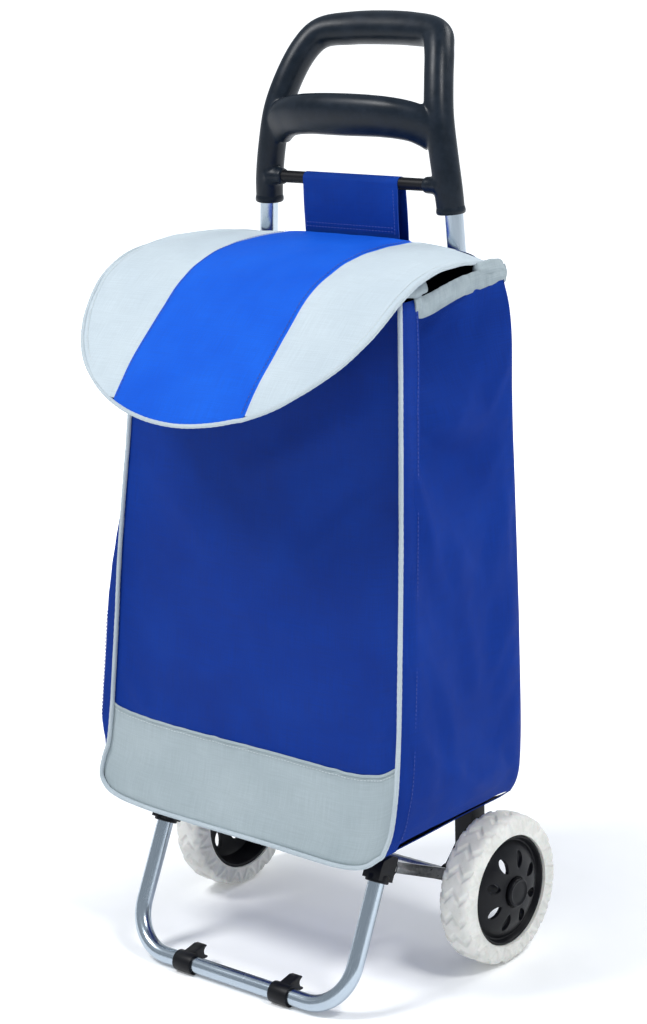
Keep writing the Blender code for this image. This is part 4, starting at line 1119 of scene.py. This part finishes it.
def flare_left(patch):
    """The left side swells out right behind the front's piping, below its middle."""
    z = patch[..., 2]
    u = np.linspace(0, 1, patch.shape[1])[None, :]
    swell = smoothstep(0.175, 0.245, z) * (1 - smoothstep(0.33, 0.58, z))
    patch[..., 0] -= 0.0190 * swell * smoothstep(-0.03, 0.04, u) * (1 - smoothstep(0.20, 0.95, u)) * (u > 0)
    patch[..., 1] -= 0.0045 * swell * (1 - smoothstep(0.05, 0.25, u)) * (u > 0)


def shape_side(patch, side):
    y, z = patch[..., 1], patch[..., 2]
    u = np.linspace(0, 1, patch.shape[1])[None, :]
    edge = (1 - (2 * u - 1) ** 6)
    belly = smoothstep(0.18, 0.27, z) * (1 - smoothstep(0.42, 0.62, z))
    out = 0.0040 * edge * belly
    out += facet_depth(y, z, SIDE_FACETS) * smoothstep(0.07, 0.15, u) * (1 - smoothstep(0.93, 1.0, u))
    for start, end, width, height in SIDE_FOLDS:
        out += crease(y, z, start, end, width, height) * edge
    soft = np.array([[wander(a * 1.8, b * 0.6, 22.0, 9 + side) for a, b in zip(r, s)] for r, s in zip(y, z)])
    fine = np.array([[wander(a * 1.4, b, 55.0, 15 + side) for a, b in zip(r, s)] for r, s in zip(y, z)])
    out += (0.0030 * soft + 0.0010 * fine) * edge
    patch[..., 0] += side * out


def shape_back(patch):
    x, z = patch[..., 0], patch[..., 2]
    inner = 0.1450
    y_flat = 0.0785 + (0.0955 - 0.0785) * (z - 0.166) / (BACK_TOP_Z - 0.166)
    share = smoothstep(inner, 0.192, np.abs(x))
    patch[..., 1] = y_flat * (1 - share) + patch[..., 1] * share
    soft = np.array([[wander(a, b * 0.7, 16.0, 21) for a, b in zip(r, s)] for r, s in zip(x, z)])
    patch[..., 1] -= 0.0016 * (soft + 0.6) * (1 - share) * smoothstep(0.18, 0.25, z) * (1 - smoothstep(0.68, 0.73, z))


def shape_bottom(patch):
    """The front edge hangs a little below the board that the rest lies on."""
    y = patch[..., 1]
    rise = smoothstep(0.0, 0.035, y - patch[:1, :, 1]) * (1 - smoothstep(-0.03, 0.0, y - patch[-1:, :, 1]))
    side_share = 1 - np.abs(np.linspace(-1, 1, patch.shape[1]))[None, :] ** 8
    patch[..., 2] += (0.1685 - patch[..., 2]) * rise * side_share


def bag_patches():
    edges = bag_edges()
    patches = {
        "front": coons(edges["front_bottom"], edges["front_top"], edges["front_left"], edges["front_right"]),
        "back": coons(edges["back_bottom"], edges["back_top"], edges["back_left"], edges["back_right"]),
        "bottom": coons(edges["front_bottom"], edges["back_bottom"], edges["side_bottom_left"],
                        edges["side_bottom_right"]),
    }
    strips = {}
    for side_name, side in SIDES:
        flat = coons(edges["side_bottom_" + side_name], edges["side_top_" + side_name],
                     edges["front_" + side_name], edges["back_" + side_name])
        if side < 0:
            flare_left(flat)
        strips[side_name] = flat.copy()
        shape_side(flat, side)
        patches["side_" + side_name] = flat
    shape_front(patches["front"])
    shape_back(patches["back"])
    shape_bottom(patches["bottom"])
    return patches, strips, edges


def weld(patches):
    """One list of points for all patches, with each patch's points as indices into it."""
    known, points, maps = {}, [], {}
    for name, patch in patches.items():
        rows, columns = patch.shape[:2]
        index = np.zeros((rows, columns), int)
        for r in range(rows):
            for c in range(columns):
                key = tuple(np.round(patch[r, c], 5))
                if key not in known:
                    known[key] = len(points)
                    points.append(patch[r, c])
                index[r, c] = known[key]
        maps[name] = index
    return np.array(points), maps


def shell_faces(maps):
    """Faces of the whole shell, all facing outwards."""
    outward = {"front": False, "side_right": False, "side_left": True, "back": True, "bottom": True}
    faces = []
    for name, index in maps.items():
        rows, columns = index.shape
        for r in range(rows - 1):
            for c in range(columns - 1):
                quad = (index[r, c], index[r, c + 1], index[r + 1, c + 1], index[r + 1, c])
                faces.append(quad[::-1] if outward[name] else quad)
    return faces


def smooth_points(points, faces, weight, rounds):
    """Even out points over their neighbours, as far as each point's weight lets it."""
    neighbours = [set() for _ in points]
    for face in faces:
        for a, b in zip(face, face[1:] + face[:1]):
            neighbours[a].add(b)
            neighbours[b].add(a)
    pairs = np.array([(a, b) for a, group in enumerate(neighbours) for b in sorted(group)])
    counts = np.bincount(pairs[:, 0], minlength=len(points))[:, None]
    for _ in range(rounds):
        total = np.zeros_like(points)
        np.add.at(total, pairs[:, 0], points[pairs[:, 1]])
        points = points + (total / counts - points) * weight[:, None] * 0.6
    return points


def drape(points, faces, pins, cap):
    """Let the cloth sag between its seams, and keep each point within cap of where it was cut."""
    mesh = bpy.data.meshes.new("drape")
    mesh.from_pydata(points.tolist(), [], [tuple(int(i) for i in f) for f in faces])
    cloth_object = bpy.data.objects.new("drape", mesh)
    bpy.context.scene.collection.objects.link(cloth_object)
    group = cloth_object.vertex_groups.new(name="pins")
    for i, pin in enumerate(pins):
        group.add([i], float(pin), "REPLACE")
    cloth = cloth_object.modifiers.new("cloth", "CLOTH")
    cloth.settings.quality = 5
    cloth.settings.mass = 0.12
    cloth.settings.tension_stiffness = 30
    cloth.settings.compression_stiffness = 18
    cloth.settings.shear_stiffness = 6
    cloth.settings.bending_stiffness = 1.2
    cloth.settings.shrink_min = -0.006
    cloth.settings.vertex_group_mass = "pins"
    cloth.collision_settings.use_collision = False
    scene = bpy.context.scene
    for number in range(1, 23):
        scene.frame_set(number)
    evaluated = cloth_object.evaluated_get(bpy.context.evaluated_depsgraph_get())
    settled = np.zeros(len(points) * 3)
    evaluated.data.vertices.foreach_get("co", settled)
    scene.frame_set(1)
    bpy.data.objects.remove(cloth_object)
    move = settled.reshape(-1, 3) - points
    size = np.linalg.norm(move, axis=1, keepdims=True)
    return points + move * cap / (cap + size)


def pin_weights(count, maps):
    """1 where the cloth is sewn to piping, board or hem, and 0 where it hangs free."""
    pins = np.zeros(count)
    for name in ("side_left", "side_right"):
        index = maps[name]
        pins[index[:, :5]] = 1.0
        pins[index[:, -2:]] = 0.9
        pins[index[-3:]] = 1.0
        pins[index[:4]] = 0.9
    pins[maps["bottom"]] = 1.0
    pins[maps["back"]] = np.maximum(pins[maps["back"]], 0.85)
    front = maps["front"]
    pins[front[:, [0, 1, -2, -1]]] = 1.0
    pins[front[:2]] = 1.0
    pins[front[-2:]] = 1.0
    pins[front[SEAM_ROW]] = np.maximum(pins[front[SEAM_ROW]], 0.7)
    return pins


def squash_with_base(piece):
    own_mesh(piece)
    return piece


def bag_piece(name, grid, mat, replaced=(), inward=1, lining=None, thickness=0.0012, subdivide=1):
    piece = sheet_object(name, grid, mat, thickness, subdivide, inward, lining=lining)
    if replaced:
        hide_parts(*replaced)
    belongs(piece, "frame")
    return squash_with_base(piece)


def build_bag():
    patches, strips, edges = bag_patches()
    points, maps = weld(patches)
    faces = shell_faces(maps)
    soft = np.zeros(len(points))
    for name in ("side_left", "side_right"):
        soft[maps[name][:7]] = 0.9
        soft[maps[name][:, -3:]] = 0.5
    soft[maps["back"][:5]] = 0.8
    soft[maps["back"][:, :3]] = 0.5
    soft[maps["back"][:, -3:]] = 0.5
    for index in (maps["bottom"][:, :6], maps["bottom"][:, -6:], maps["bottom"][-6:]):
        soft[index] = 0.9
    soft[maps["front"]] = 0.0
    soft[maps["side_left"][:, 0]] = 0.0
    soft[maps["side_right"][:, 0]] = 0.0
    for name in ("side_left", "side_right", "back"):
        soft[maps[name][-1]] = 0.0
    points = smooth_points(points, faces, soft, 14)
    points = drape(points, faces, pin_weights(len(points), maps), 0.0045)
    shaped = {name: points[index] for name, index in maps.items()}
    front = shaped["front"]
    bag_piece("bag_front", front[SEAM_ROW:], BLUE, ("bag_front_panel",), 1, LINING)
    bag_piece("bag_lower_front", front[:SEAM_ROW + 1], PALE, ("bag_lower_front_panel",), 1, LINING)
    bag_piece("bag_back", shaped["back"], BLUE, ("bag_back_panel",), -1, LINING)
    bag_piece("bag_bottom_cloth", shaped["bottom"], BLUE, ("bag_bottom",), -1, LINING)
    for side_name, side in SIDES:
        bag_piece("bag_side_cloth_" + side_name, shaped["side_" + side_name], BLUE,
                  ("bag_side_" + side_name,), side, LINING)
        build_edge_strip(side_name, side, strips[side_name])
    build_board(shaped["bottom"])
    build_front_piping(edges)
    build_seam_tape(front)
    build_collar(edges)
    return shaped, edges


def build_edge_strip(side_name, side, flat):
    """Stiff strip sewn in behind the piping, standing a little proud of the side cloth."""
    rows, columns = flat.shape[:2]
    grid = np.zeros((rows, 8, 3))
    for r in range(rows):
        line = flat[r]
        along = lengths_along(line)
        share = r / (rows - 1)
        width = 0.0185 + 0.0060 * share ** 2 - 0.006 * (1 - min(1.0, r / 10.0))
        for k in range(8):
            d = width * k / 7
            point = np.array([np.interp(d, along, line[:, n]) for n in range(3)])
            lift = 0.0016 * math.sin(math.pi * min(1.0, (k + 0.6) / 3.0) / 2)
            point[0] += side * (lift + 0.0006 * wander(point[1], point[2], 20.0, 31 + side))
            if share > 0.93:
                point[2] = min(point[2] + 0.012 * (share - 0.93) / 0.07 * (k / 7), FRONT_TOP_Z - 0.002)
            grid[r, k] = point
    bag_piece("bag_edge_strip_" + side_name, grid, BLUE, (), side, thickness=0.0010)
    edge = grid[2:-1, -2] + np.array((side * 0.0006, 0, 0))
    stitch_row("strip_stitches_" + side_name, edge, np.tile((side, 0, 0), (len(edge), 1)), BLUE_THREAD, "frame",
               squash=squash_with_base)


def build_board(bottom):
    """Stiff board inside the bag, with rounded corners, lying on the bottom cloth."""
    inset = bottom[3:-3, 3:-3].copy()
    inset[..., 2] = np.maximum(inset[..., 2], 0.1685) + 0.0040
    board = sheet_object("base_board_visual", inset, BOARD, 0.0025, 0, -1)
    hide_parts("base_board")
    belongs(board, "frame")
    squash_with_base(board)


def outline_of_front(edges):
    """The piping's line: down the left edge, along the bottom and up the right edge."""
    line = np.vstack([edges["front_left"][::-1], edges["front_bottom"][1:-1], edges["front_right"]])
    return catmull(line, 420)


def build_front_piping(edges):
    line = outline_of_front(edges)
    centre = line.mean(axis=0)
    line[:, 1] -= 0.0020
    line[:, 0] -= np.sign(line[:, 0]) * 0.0008 * smoothstep(0.10, 0.17, np.abs(line[:, 0]))
    line[:, 2] += 0.0010 * (1 - smoothstep(0.155, 0.20, line[:, 2]))
    ripple = lambda s, a: 0.00012 * math.sin(s * 900.0) + 0.00025 * noise.noise(Vector((s * 40.0, a, 2.0)))
    piping = swept("front_piping_visual", line, 0.0024, (0, -1, 0), PIPING, 16, ends="round", ripple=ripple)
    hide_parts("front_piping")
    belongs(piping, "frame")
    squash_with_base(piping)


def build_seam_tape(front):
    """Folded edge and stitches where the pale lower panel is sewn to the front."""
    line = front[SEAM_ROW].copy()
    line = catmull(line, 160)
    line[:, 1] -= 0.0006
    tape = swept("lower_panel_seam", line, (0.0016, 0.0008), (0, -1, 0), PALE, 12, power=2.4)
    belongs(tape, "frame")
    squash_with_base(tape)
    below = line + np.array((0, -0.0008, -0.0042))
    stitch_row("lower_panel_stitches", below, np.tile((0, -1, 0), (len(below), 1)), PALE_THREAD, "frame",
               squash=squash_with_base)


def band_grid(line, out, heights, bulge, seed, columns=9):
    """A gathered band of cloth above a line, bulging outwards."""
    grid = np.zeros((len(line), columns, 3))
    along = lengths_along(line)
    for i, point in enumerate(line):
        for k in range(columns):
            t = k / (columns - 1)
            gather = 0.0022 * noise.noise(Vector((along[i] * 60.0, t * 1.2, seed)))
            gather += 0.0013 * noise.noise(Vector((along[i] * 160.0, t * 2.0, seed + 4.0)))
            swell = bulge * math.sin(math.pi * t) + gather * 1.4
            z = point[2] + heights[i] * t + gather * 0.8
            grid[i, k] = np.array((point[0], point[1], z)) + out[i] * swell
    return grid


def build_collar(edges):
    """Pale casing round the bag's mouth: gathered side bands, a rolled front hem and knotted rear ends."""
    for side_name, side in SIDES:
        line = edges["side_top_" + side_name]
        line = catmull(line[4:], 90)
        drop = 0.011 - 0.004 * np.linspace(0, 1, len(line))
        line[:, 2] -= drop
        line[:, 0] += side * 0.0016
        heights = 0.0232 - 0.0050 * np.linspace(0, 1, len(line))
        out = np.tile((side * 0.96, -0.2, 0.0), (len(line), 1))
        grid = band_grid(line, out, heights, 0.0030, 3.0 + side)
        band = sheet_object("collar_band_" + side_name, grid, SHADED_COLLAR_CLOTH, 0.0016, 1, -side, lining=LINING)
        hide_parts("collar_" + side_name)
        belongs(band, "frame")
        squash_with_base(band)
        build_knot(side_name, side, edges)
    build_front_roll()


def build_front_roll():
    half, y, z = 0.1740, low("collar_front").y + 0.0035, high("collar_front").z - 0.0070
    line = [(x, y + 0.0016 * math.cos(x * 18.0), z - 0.0022 * (1 - (x / half) ** 2)) for x in np.linspace(-half, half, 160)]
    for side, end in ((-1, 0), (1, -1)):
        tail = [(side * (half + 0.0036), y + 0.004, z), (side * (half + 0.0046), y + 0.014, z - 0.0005),
                (side * (half + 0.0020), y + 0.026, z - 0.0015)]
        line = [*tail[::-1], *line] if side < 0 else [*line, *tail]

    def ripple(s, a):
        return 0.0009 * noise.noise(Vector((s * 60.0, math.cos(a) * 1.2, math.sin(a) * 1.2))) \
            + 0.0006 * math.sin(a * 2 + s * 260.0)

    roll = swept("collar_roll_front", catmull(line, 240), (0.0068, 0.0084), (0, 0, 1), SHADED_COLLAR_CLOTH, 28, ends="round",
                 power=2.2, ripple=ripple)
    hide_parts("collar_front")
    belongs(roll, "frame")
    squash_with_base(roll)


def build_knot(side_name, side, edges):
    """Bunched end of the casing at the bag's rear corner."""
    corner = edges["back_" + side_name][-1]
    line = [(corner[0] - side * 0.012, corner[1] - 0.026, corner[2] + 0.0070),
            (corner[0] - side * 0.006, corner[1] - 0.014, corner[2] + 0.0090),
            (corner[0] - side * 0.004, corner[1] - 0.004, corner[2] + 0.0075),
            (corner[0] - side * 0.008, corner[1] + 0.001, corner[2] + 0.0010)]

    def ripple(s, a):
        return 0.0016 * noise.noise(Vector((s * 110.0, math.cos(a) * 1.6, math.sin(a) * 1.6 + side)))

    knot = swept("collar_knot_" + side_name, catmull(line, 40), [(0.0060, 0.0074)], (0, 0, 1), SHADED_COLLAR_CLOTH, 28, ends="round",
                 ripple=ripple, smooth_angle=80.0)
    belongs(knot, "frame")
    squash_with_base(knot)


# ---------------------------------------------------------------- lid
LID_PROFILE = ((0.0960, 0.7470), (0.0600, 0.7487), (0.0250, 0.7475), (-0.0110, 0.7430), (-0.0420, 0.7340),
               (-0.0680, 0.7215), (-0.0920, 0.7025), (-0.1200, 0.6770), (-0.1480, 0.6510), (-0.1690, 0.6270),
               (-0.1845, 0.6085))
LID_HALF = high("lid_flap").x
LID_ROUND_START = 0.45
STRIPE_HALF = 0.0875
LID_ROWS = 84


def lid_lines():
    """Middle line of the lid with half its width at each row, from the hinge to the front."""
    line = catmull(np.array([(0.0, y, z) for y, z in LID_PROFILE]), 600)
    along = lengths_along(line)
    total = along[-1]
    start = total * LID_ROUND_START
    straight = np.linspace(0, start, 46, endpoint=False)
    round_part = start + (total - start) * np.sin(np.linspace(0, math.pi / 2, LID_ROWS - 46))
    rows = np.concatenate([straight, round_part])
    beyond = np.clip((rows - start) / (total - start), 0, 1)
    half = LID_HALF * np.sqrt(np.clip(1 - beyond ** 2.3, 0, 1))
    half[-1] = 0.004
    centre = np.stack([np.interp(rows, along, line[:, n]) for n in range(3)], axis=1)
    tangent = np.gradient(centre, axis=0)
    tangent /= np.linalg.norm(tangent, axis=1, keepdims=True)
    normal = np.stack([np.zeros(len(rows)), tangent[:, 2], -tangent[:, 1]], axis=1)
    return rows, centre, normal, half


def lid_point(centre, normal, along, x, lift=0.0):
    """A point of the lid's top face: gently crowned, with shallow seams and soft waves."""
    share = x / LID_HALF
    near = float(smoothstep(0.13, 0.0, along))
    if x > 0:
        x *= 1 - 0.10 * near * share ** 2
    height = -0.0030 * share ** 2 - 0.0115 * near * abs(share) ** 3 * (1.0 if x > 0 else 0.35)
    height += 0.0014 * noise.noise(Vector((x * 14.0, along * 14.0, 5.0)))
    height += 0.0007 * noise.noise(Vector((x * 38.0, along * 38.0, 8.0)))
    height -= 0.0012 * math.exp(-((abs(x) - STRIPE_HALF) / 0.0030) ** 2)
    return np.array((x, centre[1], centre[2])) + normal * (height + lift)


def lid_panel(name, low_x, high_x, mat, slot, lift=0.0, thickness=0.0012, columns=30, lining=None):
    """One panel of the lid between two lines along it, cut off by the rounded outline."""
    rows, centre, normal, half = lid_lines()
    lines, kept, flat = [], [], []
    for r, along in enumerate(rows):
        first, last = max(low_x, -half[r]), min(high_x, half[r])
        if last - first < 0.0008:
            continue
        xs = np.linspace(first, last, columns)
        lines.append([lid_point(centre[r], normal[r], along, x, lift) for x in xs])
        flat.append([(x, along) for x in xs])
        kept.append((along, last - first))
    grid = np.array(lines)
    piece = sheet_object(name, grid, mat, thickness, 1, -1, surface=np.array(flat), lining=lining)
    kept = np.array(kept)
    area = float(np.sum((kept[1:, 1] + kept[:-1, 1]) / 2 * np.diff(kept[:, 0])))
    size = (float(kept[:, 1].max()), float(kept[-1, 0] - kept[0, 0]))
    belongs(piece, "lid")
    return piece, size, area


def lid_rim(lift, grow, count):
    rows, centre, normal, half = lid_lines()
    right = []
    for r, along in enumerate(rows):
        right.append(lid_point(centre[r], normal[r], along, half[r], lift))
    right = np.array(right)
    left = mirror_x(right)
    line = np.vstack([left, right[::-1]])
    middle_point = np.array((0.0, -0.03, 0.70))
    line = catmull(line, count)
    outward = np.zeros_like(line)
    tangent = np.gradient(line, axis=0)
    for i in range(len(line)):
        tilt = Vector((0, -0.45, 0.9)) if line[i, 1] < 0 else Vector((0, 0, 1))
        side = Vector(tangent[i]).cross(tilt).normalized()
        outward[i] = side if side.dot(Vector(line[i] - middle_point)) > 0 else -side
    return line + outward * grow, outward


def build_lid():
    middle_panel, size, area = lid_panel("lid_stripe", -STRIPE_HALF, STRIPE_HALF, LID_BLUE, "blue_fabric", columns=34)
    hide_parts("lid_flap")
    rim_line, _ = lid_rim(-0.0012, 0.0014, 420)
    ripple = lambda s, a: 0.00010 * math.sin(s * 900.0) + 0.0002 * noise.noise(Vector((s * 40.0, a, 6.0)))
    rim = swept("lid_rim_piping", rim_line, 0.0021, (0, 0, 1), PIPING, 16, ends="round", ripple=ripple)
    belongs(rim, "lid")
    for side_name, side in SIDES:
        limits = sorted((side * STRIPE_HALF, side * LID_HALF))
        panel, size, area = lid_panel("lid_panel_" + side_name, *limits, LID_PALE, "lid_fabric", columns=26)
        seam_rows, centre, normal, half = lid_lines()
        line, out = [], []
        for r, along in enumerate(seam_rows):
            if half[r] > STRIPE_HALF + 0.004:
                line.append(lid_point(centre[r], normal[r], along, side * (STRIPE_HALF - 0.0035), 0.0004))
                out.append(normal[r])
        stitch_row("lid_seam_stitches_" + side_name, line, out, BLUE_THREAD, "lid")
    under, size, area = lid_panel("lid_lining", -LID_HALF, LID_HALF, BLUE, "blue_fabric", -0.0022, 0.0008, 60)
    inner_line, _ = lid_rim(0.0005, -0.0052, 420)
    rows, centre, normal, half = lid_lines()
    out = np.tile((0, -0.45, 0.9), (len(inner_line), 1))
    stitch_row("lid_rim_stitches", inner_line, out, PALE_THREAD, "lid")


# ---------------------------------------------------------------- strap and tube loops
def build_strap():
    """Wide strap from the bag's back, over the rail and down behind the lid."""
    rail, radius = middle("strap_rail"), (high("strap_rail").z - low("strap_rail").z) / 2
    end = low("hanging_strap").z
    half = high("hanging_strap").x
    inner = radius + 0.0006
    path = []
    for z in np.linspace(end, rail.z, 40):
        path.append((rail.y - inner, z))
    for a in np.radians(np.linspace(180, 0, 26))[1:-1]:
        path.append((rail.y + inner * math.cos(a), rail.z + inner * math.sin(a)))
    for z in np.linspace(rail.z, end, 40):
        path.append((rail.y + inner, z))
    path = np.array(path)
    columns = 26
    grid = np.zeros((len(path), columns, 3))
    along = lengths_along(path)
    for i, (y, z) in enumerate(path):
        for c in range(columns):
            share = 2 * c / (columns - 1) - 1
            wave = 0.0007 * noise.noise(Vector((share * 1.6, along[i] * 22.0, 4.0)))
            hang = smoothstep(0.0, 0.03, rail.z - z)
            direction = -1 if y < rail.y else 1
            width = half * (1 - 0.006 * float(hang) * math.sin(along[i] * 30.0))
            grid[i, c] = (share * width, y + direction * float(hang) * (wave + 0.0008), z)
    surface = np.stack(np.meshgrid(np.linspace(-half, half, columns), along), axis=-1)
    strap = sheet_object("strap", grid, BLUE_STRAP, 0.0014, 1, 1, surface=surface)
    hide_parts("hanging_strap")
    belongs(strap, "frame")
    front = rail.y - inner - 0.0034
    for number, z in enumerate((LID_HINGE.z + 0.0075, LID_HINGE.z + 0.0115)):
        line = [(x, front, z) for x in np.linspace(-half + 0.004, half - 0.004, 30)]
        stitch_row(f"strap_stitches_{number}", line, np.tile((0, -1, 0), (30, 1)), BLUE_THREAD, "frame")
    for side_name, side in SIDES:
        hem = [(side * (half - 0.0035), front + 0.0006, z) for z in np.linspace(LID_HINGE.z + 0.004, rail.z - 0.004, 30)]
        stitch_row("strap_edge_stitches_" + side_name, hem, np.tile((0, -1, 0), (30, 1)), BLUE_THREAD, "frame",
                   pitch=0.0036, length=0.0026)


def build_tube_loops():
    """Webbing loops that tie the bag's back to the main tubes."""
    for side_name, side in SIDES:
        centre = middle("tube_loop_" + side_name)
        radius = (high("tube_loop_" + side_name).x - low("tube_loop_" + side_name).x) / 2 - 0.0016
        ring = []
        for a in np.linspace(0, math.tau, 49)[:-1]:
            ring.append((radius * math.cos(a), radius * math.sin(a)))
        grid = np.zeros((7, 49, 3))
        for r, z in enumerate(np.linspace(-0.015, 0.015, 7)):
            for k in range(49):
                x, y = ring[k % 48]
                grid[r, k] = (centre.x + x, centre.y + y + 0.0361 * z, centre.z + z)
        loop = sheet_object("tube_loop_visual_" + side_name, grid, BLUE_STRAP, 0.0012, 1, 1)
        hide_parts("tube_loop_" + side_name)
        belongs(loop, "frame")


# ---------------------------------------------------------------- everything
build_camera()
build_lights()
build_floor(GLOWING_PAPER)
build_main_tubes()
build_stand_tube()
build_small_parts()
build_tyres()
build_hubs()
build_handle()
build_rail()
build_bag()
build_lid()
build_strap()
build_tube_loops()

bpy.context.view_layer.update()
